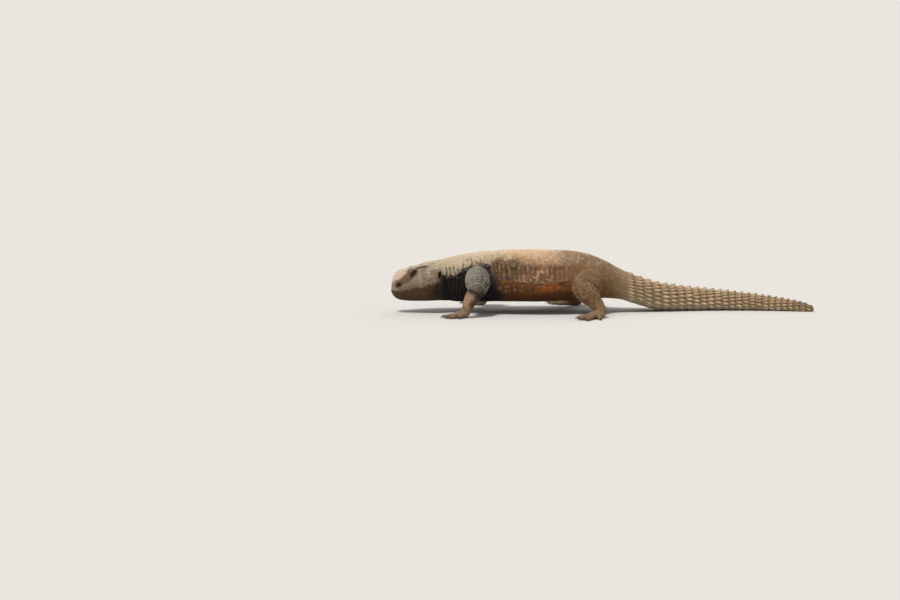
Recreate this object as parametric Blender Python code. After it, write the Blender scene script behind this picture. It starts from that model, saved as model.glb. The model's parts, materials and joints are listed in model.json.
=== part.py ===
"""A spiny-tailed lizard at life size, standing with its head held low and its tail laid along the floor.

Sizes are in millimetres until a mesh is made. The body is one loft from the snout to the tip of the tail,
measured by the distance behind the snout, and thin cuts across it part the head, neck, torso and tail.
The snout points along -X, the left side faces -Y, and the floor is at z = 0.
"""

import math

import bmesh
import bpy
import numpy as np

MM = 0.001
# Larger than any limb, for the blocks that cut
LARGE = 70.0

# Driving dimensions
SNOUT_TO_VENT = 250.0
TOTAL_LENGTH = 469.0
GAP = 0.3
HEAD_END = 57.0
NECK_END = 78.0

# The body's outline: distance behind the snout, half width, then heights above the floor of the back,
# of the widest level, which is the line of the mouth on the head, and of the belly
OUTLINE = (
    (0.0, 0.0, 26.0, 26.0, 26.0),
    (0.6, 5.6, 34.6, 24.2, 21.0),
    (3.0, 9.4, 42.4, 23.8, 17.0),
    (7.0, 11.8, 45.8, 24.2, 14.4),
    (12.0, 13.9, 47.7, 25.2, 13.2),
    (23.0, 18.2, 49.1, 28.2, 12.4),
    (34.0, 22.4, 53.5, 30.8, 12.3),
    (43.0, 24.4, 55.6, 32.4, 12.4),
    (51.0, 22.8, 56.8, 33.4, 12.6),
    (60.0, 20.8, 58.8, 34.0, 12.2),
    (76.0, 25.4, 62.6, 34.5, 11.0),
    (95.0, 33.0, 64.9, 34.5, 11.4),
    (125.0, 41.5, 67.9, 33.5, 12.0),
    (160.0, 44.0, 68.4, 33.0, 12.0),
    (190.0, 41.0, 67.6, 33.5, 12.6),
    (213.0, 33.5, 64.4, 33.5, 14.0),
    (235.0, 26.0, 56.0, 32.0, 15.0),
    (250.0, 22.0, 48.0, 28.5, 13.5),
    (270.0, 19.8, 38.5, 21.5, 7.5),
    (295.0, 17.4, 30.0, 14.5, 1.0),
    (320.0, 15.6, 25.8, 12.0, -0.4),
    (380.0, 11.8, 19.6, 9.0, -0.4),
    (430.0, 8.0, 13.6, 6.2, -0.4),
    (460.0, 4.6, 8.6, 3.8, -0.4),
    (468.0, 2.2, 5.0, 2.6, 0.2),
)
TAIL_TIP = (TOTAL_LENGTH, 0.0, 2.8)

# Which way the body's axis runs, in degrees from +X, at distances behind the snout
HEADING = ((0, 8), (50, 7), (85, 1), (125, -3), (185, 2), (240, 6), (300, 10), (360, 1), (430, -15), (469, -20))
STRAIGHT_AT = 150.0

# How square a cross-section is, above and below its widest level: 2 is an ellipse
ROUNDNESS_ABOVE = ((0, 2.1), (12, 2.5), (23, 3.0), (43, 2.7), (75, 2.3), (250, 2.3), (469, 2.1))
ROUNDNESS_BELOW = ((0, 2.1), (30, 2.5), (75, 2.5), (120, 2.7), (250, 2.5), (469, 2.2))

# Swellings and hollows on each side: distance behind the snout, height, reach along, reach up, amount
RELIEF = {
    "nasal swelling": (6.6, 32.6, 3.4, 3.2, 0.7),
    "hollow before the eye": (13.5, 39.5, 4.0, 3.4, -1.1),
    "ridge over the snout": (12.5, 45.0, 8.0, 2.2, 0.7),
    "brow": (23.5, 49.0, 6.5, 2.4, 1.6),
    "cheek under the eye": (23.5, 37.2, 7.0, 2.6, 0.9),
    "temple": (35.5, 47.0, 5.0, 4.2, -1.3),
    "jowl": (43.0, 30.0, 6.5, 8.0, 1.3),
    "rim before the ear": (46.2, 43.0, 1.7, 5.5, 0.9),
    "hollow behind the jaw": (59.0, 33.0, 4.5, 10.0, -1.4),
    "shoulder blade": (99.0, 54.0, 11.0, 7.0, 1.2),
    "hip": (223.0, 50.0, 10.0, 6.0, 1.4),
}
MOUTH_CORNER = 33.0
MOUTH_GROOVE = 0.9
LIP_RISE = 0.4
# Folds of loose skin: first and last distance, lowest and highest level, spacing, depth
FOLDS = {
    "neck": (58.0, 92.0, 16.0, 50.0, 9.5, 0.8),
    "flank": (112.0, 205.0, 22.0, 50.0, 15.0, 0.6),
}

# Angles round a cross-section: 90 is the middle of the back, 0 the widest level and -90 the belly
HEAD_ANGLES = (90, 79, 68, 57, 47, 38, 30, 22, 14.5, 8, 2.6, 0.9, 0, -0.9, -2.8, -9, -19, -31, -44, -58, -74, -90)
BODY_ANGLES = (90, 76, 62, 49, 37, 26, 16, 7, -2, -12, -24, -38, -54, -72, -90)
TAIL_ANGLES = (90, 72, 54, 37, 21, 5, -12, -32, -58, -90)

HEAD_RINGS = (0.35, 1.3, 3, 5, 7.5, 10, 12.5, 15, 17.5, 20, 22.5, 25, 27.5, 30, 32.5, 35, 38, 41, 44, 46.5, 49,
              51.5, 54)
NECK_STEP = 2.6
TORSO_STEP = 5.4
TAIL_STEP = 7.0

# The eye, by its place on the head, and its lids
EYE_AT = (23.2, 11.7, 44.2)
EYE_RADIUS = 4.6
LID = 1.1
LID_OPENING = (4.2, 2.4)
LID_SLANT = math.radians(42)
# How far the gaze turns forwards and up from straight outwards
GAZE_FORWARD = 0.22
GAZE_UP = 0.12
EAR_AT = (50.6, 43.0)
EAR_SIZE = (2.3, 2.4, 4.6)
EAR_LEAN = math.radians(12)
NOSTRIL_AT = (6.4, 31.4)
NOSTRIL_SIZE = (1.25, 1.7, 0.95)
NOSTRIL_LEAN = math.radians(-30)

# How far the middle of an ear's or nostril's hollow stands outside the plain cross-section
PROUD = 0.3

# Each limb's joints, with the left side at -Y, and its radii from the body outwards
FORELIMB_RADII = ((14.8, 14.4, 12.8, 9.0), (8.8, 8.2, 6.8, 5.6))
HINDLIMB_RADII = ((15.5, 15.4, 13.6, 10.6), (10.6, 10.8, 8.0, 6.2))
# How far before the wrist or ankle the cut between limb and hand lies
WRIST_CUT = 6.5
LIMBS = {
    "fore_left": {"joints": ((97, -20, 42), (94, -58, 29), (82, -65, 7.6)), "points": (-0.93, -0.37)},
    "fore_right": {"joints": ((99, 20, 42), (108, 57, 29), (101, 65, 7.6)), "points": (-0.84, 0.54)},
    "hind_left": {"joints": ((222, -12, 35), (209, -52, 31), (231, -66, 8.4)), "points": (-0.62, -0.78)},
    "hind_right": {"joints": ((222, 12, 35), (196, 51, 32), (207, 68, 8.4)), "points": (-0.90, 0.44)},
}
LIMB_NODES = {"fore": ("upper_arm", "forearm", "hand"), "hind": ("thigh", "shin", "foot")}

# Palm and sole: how far ahead of the wrist or ankle its middle is, its half sizes and its height
PALMS = {"fore": (5.6, (9.4, 8.0, 4.2), 3.6), "hind": (9.0, (13.5, 7.8, 4.5), 3.9)}
# Each digit from the inner side: turn from the limb's direction, where it leaves the palm, length, radius
DIGITS = {
    "fore": ((44, 6.0, 9.0, 2.2), (20, 7.6, 12.0, 2.3), (0, 8.2, 13.5, 2.4), (-21, 7.4, 12.5, 2.3), (-52, 5.4, 9.0, 2.1)),
    "hind": ((42, 10.0, 8.5, 2.3), (22, 12.2, 12.5, 2.4), (3, 13.0, 16.5, 2.5), (-15, 12.4, 19.5, 2.5), (-46, 8.0, 13.0, 2.2)),
}
CLAW_LENGTH = 5.4
CLAW_RADIUS = 1.25

# Rings of spiny scales round the tail
FIRST_WHORL = 258.0
LAST_WHORL = 458.0
WHORL_PITCH = (9.8, 6.6)
WHORL_COUNT = (10, 6)
SPINE_HEIGHT = (2.9, 1.7)
SPINE_ROOT = 1.5
LOWEST_SPINE = -14.0
WHORLS_AT_CUTS = (8, 17)

COLOURS = {
    "head_skin": (0.50, 0.42, 0.31),
    "dark_skin": (0.10, 0.095, 0.09),
    "back_skin": (0.68, 0.52, 0.36),
    "limb_skin": (0.38, 0.28, 0.20),
    "tail_skin": (0.58, 0.47, 0.33),
    "eye": (0.05, 0.03, 0.02),
}


def clear_scene():
    for obj in list(bpy.data.objects):
        bpy.data.objects.remove(obj)


def smooth_through(at, known, values):
    """Cubic curve through the known values, with slopes that don't overshoot between them."""
    step = np.diff(known)
    rise = np.diff(values) / step
    slope = np.empty(len(known))
    slope[0], slope[-1] = rise[0], rise[-1]
    same_way = rise[:-1] * rise[1:] > 0
    mean = 2 * rise[:-1] * rise[1:] / np.where(same_way, rise[:-1] + rise[1:], 1)
    slope[1:-1] = np.where(same_way, mean, 0)
    i = np.clip(np.searchsorted(known, at, side="right") - 1, 0, len(step) - 1)
    t = (at - known[i]) / step[i]
    start = values[i] * (1 + 2 * t) * (1 - t) ** 2 + slope[i] * step[i] * t * (1 - t) ** 2
    end = values[i + 1] * t * t * (3 - 2 * t) - slope[i + 1] * step[i] * t * t * (1 - t)
    return start + end


def outline(s):
    """Half width and the heights of back, widest level and belly. The square root rounds the snout."""
    table = np.array(OUTLINE)
    root = np.sqrt(np.clip(s, 0, table[-1, 0]))
    return tuple(smooth_through(root, np.sqrt(table[:, 0]), table[:, k]) for k in (1, 2, 3, 4))


def path():
    """Fine points along the body's axis, seen from above: distance behind the snout, x, y and heading."""
    s = np.linspace(0, TOTAL_LENGTH, int(TOTAL_LENGTH) * 2 + 1)
    table = np.array(HEADING, float)
    heading = np.radians(smooth_through(s, table[:, 0], table[:, 1]))
    step = s[1] - s[0]
    x = np.concatenate([[0], np.cumsum(np.cos((heading[1:] + heading[:-1]) / 2) * step)])
    y = np.concatenate([[0], np.cumsum(np.sin((heading[1:] + heading[:-1]) / 2) * step)])
    x += STRAIGHT_AT - np.interp(STRAIGHT_AT, s, x)
    y -= np.interp(STRAIGHT_AT, s, y)
    return s, x, y, heading


PATH = path()


def place(s, sideways, height):
    """A point at a distance behind the snout, sideways from the axis (left is negative) and above the floor."""
    x, y, heading = (np.interp(s, PATH[0], PATH[k]) for k in (1, 2, 3))
    return np.stack(np.broadcast_arrays(x - np.sin(heading) * sideways, y + np.cos(heading) * sideways, height), -1)


def bell(value, middle, reach):
    return np.exp(-(((value - middle) / reach) ** 2))


def window(value, low, high, soft):
    """1 between low and high, falling smoothly to 0 outside them."""
    rise = np.clip((value - low) / soft, 0, 1)
    fall = np.clip((high - value) / soft, 0, 1)
    return rise * rise * (3 - 2 * rise) * fall * fall * (3 - 2 * fall)


def relief(s, height, angle):
    """How far the skin stands out from the plain cross-section."""
    out = np.zeros(np.broadcast(s, height).shape)
    for along, up, reach_along, reach_up, amount in RELIEF.values():
        out = out + amount * bell(s, along, reach_along) * bell(height, up, reach_up)
    for first, last, low, high, spacing, depth in FOLDS.values():
        wave = np.sin((s + 0.25 * height) * 2 * math.pi / spacing)
        out = out + depth * wave * window(s, first, last, 9) * window(height, low, high, 9)
    mouth = window(s, -9, MOUTH_CORNER + 2, 4)
    out = out - MOUTH_GROOVE * mouth * (np.abs(angle) < 0.5)
    return out + LIP_RISE * mouth * (np.abs(np.abs(angle) - 2.7) < 0.5)


def section(s, degrees, side, grow=0.0):
    """The point of the body's surface at a distance behind the snout and an angle round its cross-section."""
    half_width, back, middle, belly = outline(s)
    above = degrees >= 0
    reach = np.where(above, back - middle, middle - belly)
    power = np.where(
        above,
        np.interp(s, *np.array(ROUNDNESS_ABOVE, float).T),
        np.interp(s, *np.array(ROUNDNESS_BELOW, float).T),
    )
    angle = np.radians(np.abs(degrees))
    across = np.clip(np.cos(angle), 0, 1) ** (2 / power)
    up = np.sin(angle) ** (2 / power) * np.where(above, 1, -1)
    out = grow + relief(s, middle + reach * up, degrees)
    lean = np.stack([across / np.maximum(half_width, 1), up / np.maximum(reach, 1)], -1)
    lean = lean / np.linalg.norm(lean, axis=-1, keepdims=True)
    sideways = half_width * across + out * lean[..., 0]
    height = middle + reach * up + out * lean[..., 1]
    return place(s, side * sideways, height)


def half_width_at(s, height):
    """How far the plain cross-section reaches sideways at a height above its widest level."""
    half_width, back, middle, _ = outline(np.array([s]))
    power = np.interp(s, *np.array(ROUNDNESS_ABOVE, float).T)
    share = (height - middle[0]) / (back[0] - middle[0])
    return half_width[0] * (1 - share**power) ** (1 / power)


def body_rings(distances, angles, grow=0.0):
    """One ring of points for each distance, from the back down the left side and up the right side."""
    left = np.array(angles, float)
    right = left[-2:0:-1]
    s = np.array(distances, float)[:, None]
    return np.concatenate([section(s, left[None], -1, grow), section(s, right[None], 1, grow)], axis=1)


def rings_to_mesh(rings, first=None, last=None):
    """Points and faces of a closed surface through rings. Each end closes on a given point, or on its middle."""
    count, around = rings.shape[:2]
    first = rings[0].mean(axis=0) if first is None else np.array(first, float)
    last = rings[-1].mean(axis=0) if last is None else np.array(last, float)
    points = np.concatenate([rings.reshape(-1, 3), [first, last]])
    faces = []
    for k in range(around):
        nxt = (k + 1) % around
        faces.append((count * around, nxt, k))
        faces.append((count * around + 1, (count - 1) * around + k, (count - 1) * around + nxt))
        for i in range(count - 1):
            faces.append((i * around + k, i * around + nxt, (i + 1) * around + nxt, (i + 1) * around + k))
    return points, faces


def make_object(name, points, faces):
    """A mesh object from points in millimetres, with its faces turned outwards."""
    mesh = bpy.data.meshes.new(name)
    mesh.from_pydata((np.asarray(points) * MM).tolist(), [], faces)
    shape = bmesh.new()
    shape.from_mesh(mesh)
    bmesh.ops.recalc_face_normals(shape, faces=shape.faces)
    bmesh.ops.triangulate(shape, faces=shape.faces)
    shape.to_mesh(mesh)
    shape.free()
    obj = bpy.data.objects.new(name, mesh)
    bpy.context.scene.collection.objects.link(obj)
    return obj


def keep_largest_surface(obj):
    """Drops loose scraps, so that the object is one closed body."""
    shape = bmesh.new()
    shape.from_mesh(obj.data)
    left = set(shape.faces)
    groups = []
    while left:
        group = {left.pop()}
        waiting = list(group)
        while waiting:
            face = waiting.pop()
            near = {other for edge in face.edges for other in edge.link_faces} & left
            left -= near
            group |= near
            waiting.extend(near)
        groups.append(group)
    groups.sort(key=lambda group: sum(face.calc_area() for face in group))
    for group in groups[:-1]:
        bmesh.ops.delete(shape, geom=list(group), context="FACES")
    shape.to_mesh(obj.data)
    shape.free()


def combine(obj, others, operation):
    """Joins other closed objects to obj, or cuts them out of it, in one Boolean, and removes them."""
    if not others:
        return obj
    group = bpy.data.collections.new(obj.name + "_pieces")
    bpy.context.scene.collection.children.link(group)
    for other in others:
        bpy.context.scene.collection.objects.unlink(other)
        group.objects.link(other)
    modifier = obj.modifiers.new(operation.lower(), "BOOLEAN")
    modifier.operation = operation
    modifier.operand_type = "COLLECTION"
    modifier.collection = group
    modifier.solver = "MANIFOLD"
    bpy.context.view_layer.update()
    evaluated = obj.evaluated_get(bpy.context.evaluated_depsgraph_get())
    result = bpy.data.meshes.new_from_object(evaluated)
    obj.modifiers.clear()
    obj.data = result
    for other in others:
        bpy.data.objects.remove(other)
    bpy.data.collections.remove(group)
    keep_largest_surface(obj)
    return obj


def floor_block():
    """A block whose top is the floor, to cut flats where the lizard rests."""
    ends = (-LARGE, TOTAL_LENGTH + LARGE)
    corners = [(a, b, c) for a in ends for b in (-2 * LARGE, 2 * LARGE) for c in (-LARGE, 0)]
    faces = [(0, 1, 3, 2), (4, 6, 7, 5), (0, 4, 5, 1), (2, 3, 7, 6), (0, 2, 6, 4), (1, 5, 7, 3)]
    return make_object("floor_cutter", corners, faces)


def ellipsoid(name, centre, half_sizes, axes, around=12, bands=8):
    """A closed ellipsoid on three given directions, which are the rows of axes."""
    latitude = np.radians(np.linspace(-90, 90, bands + 1)[1:-1])
    turn = np.radians(np.arange(around) * 360 / around)
    ball = np.stack(
        [
            np.sin(latitude)[:, None] * np.ones(around),
            np.cos(latitude)[:, None] * np.cos(turn),
            np.cos(latitude)[:, None] * np.sin(turn),
        ],
        -1,
    )
    axes = np.asarray(axes, float)
    centre = np.asarray(centre, float)
    pole = axes[0] * half_sizes[0]
    rings = (ball * np.asarray(half_sizes)) @ axes + centre
    return make_object(name, *rings_to_mesh(rings, centre - pole, centre + pole))


def unit(vector):
    vector = np.asarray(vector, float)
    return vector / np.linalg.norm(vector)


def upright_axes(direction):
    """Three right-angled directions: the given one, the level one across it, and the one that rises most."""
    along = unit(direction)
    across = unit(np.cross([0.0, 0.0, 1.0], along))
    return np.array([along, across, np.cross(along, across)])


def limb_tube(name, start, end, radii, sag, around=14):
    """A rounded limb segment whose radii are spread along it, with a dome on each end."""
    axes = upright_axes(end - start)
    length = np.linalg.norm(end - start)
    dome = np.radians((60, 24))
    before = [(-radii[0] * math.sin(a), radii[0] * math.cos(a)) for a in dome]
    after = [(length + radii[-1] * math.sin(a), radii[-1] * math.cos(a)) for a in dome[::-1]]
    known = np.linspace(0, length, len(radii))
    inside = [(d, float(np.interp(d, known, radii))) for d in known]
    turn = np.radians(np.arange(around) * 360 / around)
    rings = []
    for distance, radius in before + inside + after:
        bend = sag * math.sin(math.pi * np.clip(distance / length, 0, 1))
        middle = start + axes[0] * distance + axes[2] * bend
        rings.append(middle + radius * (np.cos(turn)[:, None] * axes[1] + np.sin(turn)[:, None] * axes[2]))
    first = start - axes[0] * radii[0]
    last = end + axes[0] * radii[-1]
    return make_object(name, *rings_to_mesh(np.array(rings), first, last))


def build_digit(name, root, direction, length, radius):
    """One toe, resting on the floor, with its claw curving down at the end."""
    along = np.array([direction[0], direction[1], 0.0])
    across = np.array([-direction[1], direction[0], 0.0])
    up = np.array([0.0, 0.0, 1.0])
    turn = np.radians(np.arange(7) * 360 / 7 + 90)
    shares = ((-0.35, 1.0, 3.4), (0.25, 1.06, 2.9), (0.72, 0.92, 1.8), (1.0, 0.72, 1.7))
    rings = []
    for share, thick, height in shares:
        middle = root + along * share * length + up * height
        rings.append(middle + radius * thick * (np.cos(turn)[:, None] * across + np.sin(turn)[:, None] * up))
    end = root + along * (length + radius * 0.6) + up * 1.7
    toe = make_object(name, *rings_to_mesh(np.array(rings), None, end))
    tip = root + along * (length - 0.6)
    turn = np.radians(np.arange(5) * 72 + 90)
    rings = []
    for share, thick, height in ((0.0, 1.0, 2.3), (0.55, 0.66, 2.1)):
        middle = tip + along * share * CLAW_LENGTH + up * height
        rings.append(middle + CLAW_RADIUS * thick * (np.cos(turn)[:, None] * across + np.sin(turn)[:, None] * up))
    claw = make_object(name + "_claw", *rings_to_mesh(np.array(rings), None, tip + along * CLAW_LENGTH + up * 0.5))
    return [toe, claw]


def half_space(point, normal):
    """A large block on one side of a plane, to cut away all that lies beyond the plane."""
    along, across, up = upright_axes(normal)
    corners = [
        np.asarray(point, float) + along * depth + across * sideways + up * rise
        for depth in (0.0, LARGE)
        for sideways in (-LARGE, LARGE)
        for rise in (-LARGE, LARGE)
    ]
    faces = [(0, 1, 3, 2), (4, 6, 7, 5), (0, 4, 5, 1), (2, 3, 7, 6), (0, 2, 6, 4), (1, 5, 7, 3)]
    return make_object("half_space", corners, faces)


def build_hand(name, limb, kind, side, wrist_stub, wrist_plane):
    """Palm or sole with five clawed digits and the end of the limb, flat underneath."""
    ahead, half_sizes, height = PALMS[kind]
    wrist = np.array(limb["joints"][2], float)
    direction = unit([*limb["points"], 0.0])
    middle = np.array([wrist[0], wrist[1], 0.0]) + direction * ahead
    palm = ellipsoid(name, middle + [0, 0, height], half_sizes, upright_axes(direction))
    pieces = [wrist_stub]
    for number, (turn, start, length, radius) in enumerate(DIGITS[kind]):
        angle = math.atan2(direction[1], direction[0]) + math.radians(turn) * side
        ray = np.array([math.cos(angle), math.sin(angle), 0.0])
        base = np.array([wrist[0], wrist[1], 0.0]) + direction * (ahead - 2) + ray * start
        pieces += build_digit(f"{name}_digit_{number}", base, ray[:2], length, radius)
    combine(palm, pieces, "UNION")
    return combine(palm, [half_space(*wrist_plane), floor_block()], "DIFFERENCE")


def build_limb(key, limb):
    """Upper segment, lower segment and hand or foot, parted by flat cuts at the joint and above the wrist."""
    kind, side_name = key.split("_")
    side = -1 if side_name == "left" else 1
    upper_radii, lower_radii = FORELIMB_RADII if kind == "fore" else HINDLIMB_RADII
    root, middle, end = (np.array(joint, float) for joint in limb["joints"])
    names = [f"{node}_{side_name}" for node in LIMB_NODES[kind]]
    down = unit(end - middle)
    across_joint = unit(unit(middle - root) + down)
    above_wrist = end - down * WRIST_CUT
    half_gap = GAP / 2
    upper = limb_tube(names[0], root, middle, upper_radii, 1.5)
    beyond_joint = half_space(middle - across_joint * half_gap, across_joint)
    combine(upper, [body_cutter(), beyond_joint], "DIFFERENCE")
    lower = limb_tube(names[1], middle, end, lower_radii, 0.8)
    before_joint = half_space(middle + across_joint * half_gap, -across_joint)
    combine(lower, [before_joint, half_space(above_wrist - down * half_gap, down)], "DIFFERENCE")
    wrist_stub = limb_tube("wrist_stub", middle, end, lower_radii, 0.8)
    hand = build_hand(names[2], limb, kind, side, wrist_stub, (above_wrist + down * half_gap, -down))
    skins = ("dark_skin", "limb_skin", "limb_skin") if kind == "fore" else ("limb_skin",) * 3
    return list(zip((upper, lower, hand), skins))


def eye_axes(side):
    """The eye looks outwards, a little forwards and up. Its opening slants with the head."""
    heading = np.interp(EYE_AT[0], PATH[0], PATH[3])
    forward = np.array([-math.cos(heading), -math.sin(heading), 0.0])
    outward = np.array([-math.sin(heading), math.cos(heading), 0.0]) * side
    gaze = unit(outward + GAZE_FORWARD * forward + np.array([0, 0, GAZE_UP]))
    level = forward * math.cos(LID_SLANT) - np.array([0, 0, 1]) * math.sin(LID_SLANT)
    level = unit(level - gaze * (level @ gaze))
    return np.array([gaze, level, np.cross(gaze, level)])


def build_eye(side):
    centre = place(EYE_AT[0], side * EYE_AT[1], EYE_AT[2])
    name = "eye_left" if side < 0 else "eye_right"
    return ellipsoid(name, centre, [EYE_RADIUS] * 3, eye_axes(side), around=12, bands=8)


def eye_socket(side):
    """The lids' round swelling, and the cutters for the almond opening and for the eyeball's room."""
    centre = place(EYE_AT[0], side * EYE_AT[1], EYE_AT[2])
    axes = eye_axes(side)
    swelling = ellipsoid("lids", centre, [EYE_RADIUS + LID] * 3, axes, around=14, bands=10)
    half_sizes = (EYE_RADIUS, *LID_OPENING)
    opening = ellipsoid("lid_opening", centre + axes[0] * (EYE_RADIUS + 0.4), half_sizes, axes, around=14)
    room = ellipsoid("eye_room", centre, [EYE_RADIUS + GAP] * 3, axes, around=14, bands=10)
    return swelling, [opening, room]


def side_axes(s, side, tilt=0.0):
    """Directions on the side of the head: backwards, outwards, and up, which leans back by tilt."""
    heading = np.interp(s, PATH[0], PATH[3])
    back = np.array([math.cos(heading), math.sin(heading), 0.0])
    outward = np.array([-math.sin(heading), math.cos(heading), 0.0]) * side
    up = np.array([0.0, 0.0, 1.0]) * math.cos(tilt) + back * math.sin(tilt)
    return np.array([back * math.cos(tilt) - np.array([0, 0, 1.0]) * math.sin(tilt), outward, up])


def head_hollow(name, at, half_sizes, side, tilt):
    """A small ellipsoid set in the side of the head, to cut an ear or a nostril."""
    s, height = at
    centre = place(s, side * (half_width_at(s, height) + PROUD), height)
    return ellipsoid(name, centre, half_sizes, side_axes(s, side, tilt), around=12, bands=8)


def build_head():
    rings = body_rings((*HEAD_RINGS, HEAD_END - GAP / 2), HEAD_ANGLES)
    tip = place(0.0, 0.0, OUTLINE[0][3])
    head = make_object("head", *rings_to_mesh(rings, first=tip))
    lids, cutters = [], []
    for side in (-1, 1):
        swelling, cuts = eye_socket(side)
        lids.append(swelling)
        cutters += cuts
        cutters.append(head_hollow("ear_cutter", EAR_AT, EAR_SIZE, side, EAR_LEAN))
        cutters.append(head_hollow("nostril_cutter", NOSTRIL_AT, NOSTRIL_SIZE, side, NOSTRIL_LEAN))
    combine(head, lids, "UNION")
    return combine(head, cutters, "DIFFERENCE")


def even_steps(start, end, step):
    return np.linspace(start, end, max(2, round((end - start) / step) + 1))


def build_length(name, start, end, step, angles, last=None):
    """A length of the body between two cuts, which are half a gap inside its ends."""
    stop = end if last is not None else end - GAP / 2
    rings = body_rings(even_steps(start + GAP / 2, stop, step), angles)
    return make_object(name, *rings_to_mesh(rings, last=last))


def body_cutter():
    """The body from the neck to the vent, larger by the gap, which the limbs' roots are cut to."""
    rings = body_rings(even_steps(NECK_END + GAP / 2, SNOUT_TO_VENT - GAP / 2, TORSO_STEP), BODY_ANGLES, GAP)
    rest = body_rings(even_steps(HEAD_END, NECK_END - 4, NECK_STEP * 2), BODY_ANGLES, GAP)
    tail = body_rings(even_steps(SNOUT_TO_VENT + 5, SNOUT_TO_VENT + 25, 5), BODY_ANGLES, GAP)
    return make_object("body_cutter", *rings_to_mesh(np.concatenate([rest, rings, tail])))


def along_tail(s, ends):
    """A value that changes evenly from the first whorl to the last."""
    return float(np.interp(s, (FIRST_WHORL, LAST_WHORL), ends))


def whorls():
    """Where each ring of spines starts, behind the snout."""
    found = [FIRST_WHORL]
    while found[-1] < LAST_WHORL:
        found.append(found[-1] + along_tail(found[-1], WHORL_PITCH))
    return found


def spine(s, degrees, side, width, length, height):
    """A wedge-shaped spiny scale that rises backwards to a point, with its root sunk in the tail."""
    at = section(np.array(s), np.array(degrees), side)
    behind = section(np.array(s + length), np.array(degrees), side)
    beside = section(np.array(s), np.array(degrees + (6 if degrees < 84 else -6)), side)
    along = unit(behind - at)
    out = unit(np.cross(beside - at, along))
    out = out * (1 if out @ (at - place(s, 0, outline(np.array([s]))[2][0])) > 0 else -1)
    across = np.cross(along, out)
    root = [
        at + along * share * length + across * half * width - out * SPINE_ROOT
        for share, half in ((0.0, -0.42), (0.0, 0.42), (0.86, 0.36), (0.86, -0.36))
    ]
    ridge = at + along * 0.12 * length + out * 0.25 * height
    point = at + along * length + out * height
    faces = [(0, 1, 2, 3), (0, 4, 1), (1, 4, 5, 2), (3, 5, 4, 0), (2, 5, 3)]
    return make_object("spine", [*root, ridge, point], faces)


def whorl_of_spines(s, pitch):
    """Spines from the side of the tail over its back to the other side, largest at the sides."""
    count = round(along_tail(s, WHORL_COUNT))
    half_width, back, middle, _ = outline(np.array([s]))
    reach = (half_width[0] + back[0] - middle[0]) / 2
    span = math.radians(90 - LOWEST_SPINE)
    width = 2 * span * reach / count
    made = []
    for k in range(count):
        turn = (k + 0.5) / count * 2 - 1
        degrees = 90 - abs(turn) * (90 - LOWEST_SPINE)
        height = along_tail(s, SPINE_HEIGHT) * (1 + 0.35 * abs(turn))
        made.append(spine(s, degrees, -1 if turn < 0 else 1, width, pitch * 0.84, height))
    return made


def build_tail():
    """Three lengths of the tail, parted just ahead of a whorl, each with its own spines."""
    rows = whorls()
    cuts = [SNOUT_TO_VENT, *(rows[number] - 0.7 for number in WHORLS_AT_CUTS), OUTLINE[-1][0]]
    made = []
    for number, name in enumerate(("tail_base", "tail_middle", "tail_tip")):
        last = place(*TAIL_TIP) if number == 2 else None
        length = build_length(name, cuts[number], cuts[number + 1], TAIL_STEP, TAIL_ANGLES, last)
        spines = []
        for s in rows:
            if cuts[number] < s < cuts[number + 1] - 3:
                spines += whorl_of_spines(s, along_tail(s, WHORL_PITCH))
        combine(length, spines, "UNION")
        made.append((combine(length, [floor_block()], "DIFFERENCE"), "tail_skin"))
    return made


def make_materials():
    made = {}
    for name, colour in COLOURS.items():
        material = bpy.data.materials.new(name)
        material.use_nodes = True
        shader = material.node_tree.nodes["Principled BSDF"]
        shader.inputs["Base Color"].default_value = (*colour, 1.0)
        shader.inputs["Roughness"].default_value = 0.15 if name == "eye" else 0.7
        shader.inputs["Metallic"].default_value = 0.0
        made[name] = material
    return made


def finish(parts):
    """Gives each node its material and puts the origin on the floor under the middle of the model's box."""
    materials = make_materials()
    corners = []
    for obj, material in parts:
        obj.data.materials.clear()
        obj.data.materials.append(materials[material])
        obj.data.shade_smooth()
        obj.data.set_sharp_from_angle(angle=math.radians(40))
        corners += [vertex.co[:] for vertex in obj.data.vertices]
    corners = np.array(corners)
    middle = (corners.min(axis=0) + corners.max(axis=0)) / 2
    for obj, _ in parts:
        obj.location = (-middle[0], -middle[1], 0.0)
    print("origin, in millimetres behind the snout and to the right:", np.round(middle[:2] / MM, 3))


def main():
    clear_scene()
    parts = [(build_head(), "head_skin")]
    parts += [(build_eye(side), "eye") for side in (-1, 1)]
    parts.append((build_length("neck", HEAD_END, NECK_END, NECK_STEP, HEAD_ANGLES), "dark_skin"))
    parts.append((build_length("torso", NECK_END, SNOUT_TO_VENT, TORSO_STEP, BODY_ANGLES), "back_skin"))
    parts += build_tail()
    for key, limb in LIMBS.items():
        parts += build_limb(key, limb)
    finish(parts)


main()
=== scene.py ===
"""The looks of a life-size spiny-tailed lizard: one skin, small scales, a spiny tail, eyes and claws.

Shapes are worked out in millimetres, measured by the distance behind the snout, and turned into the frame's
metres when a mesh is made. The snout points along -X and the left side of the animal faces -Y.
"""

import json
import math

import bmesh
import bpy
import numpy as np
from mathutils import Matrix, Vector
from mathutils.bvhtree import BVHTree
from mathutils.kdtree import KDTree


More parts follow.
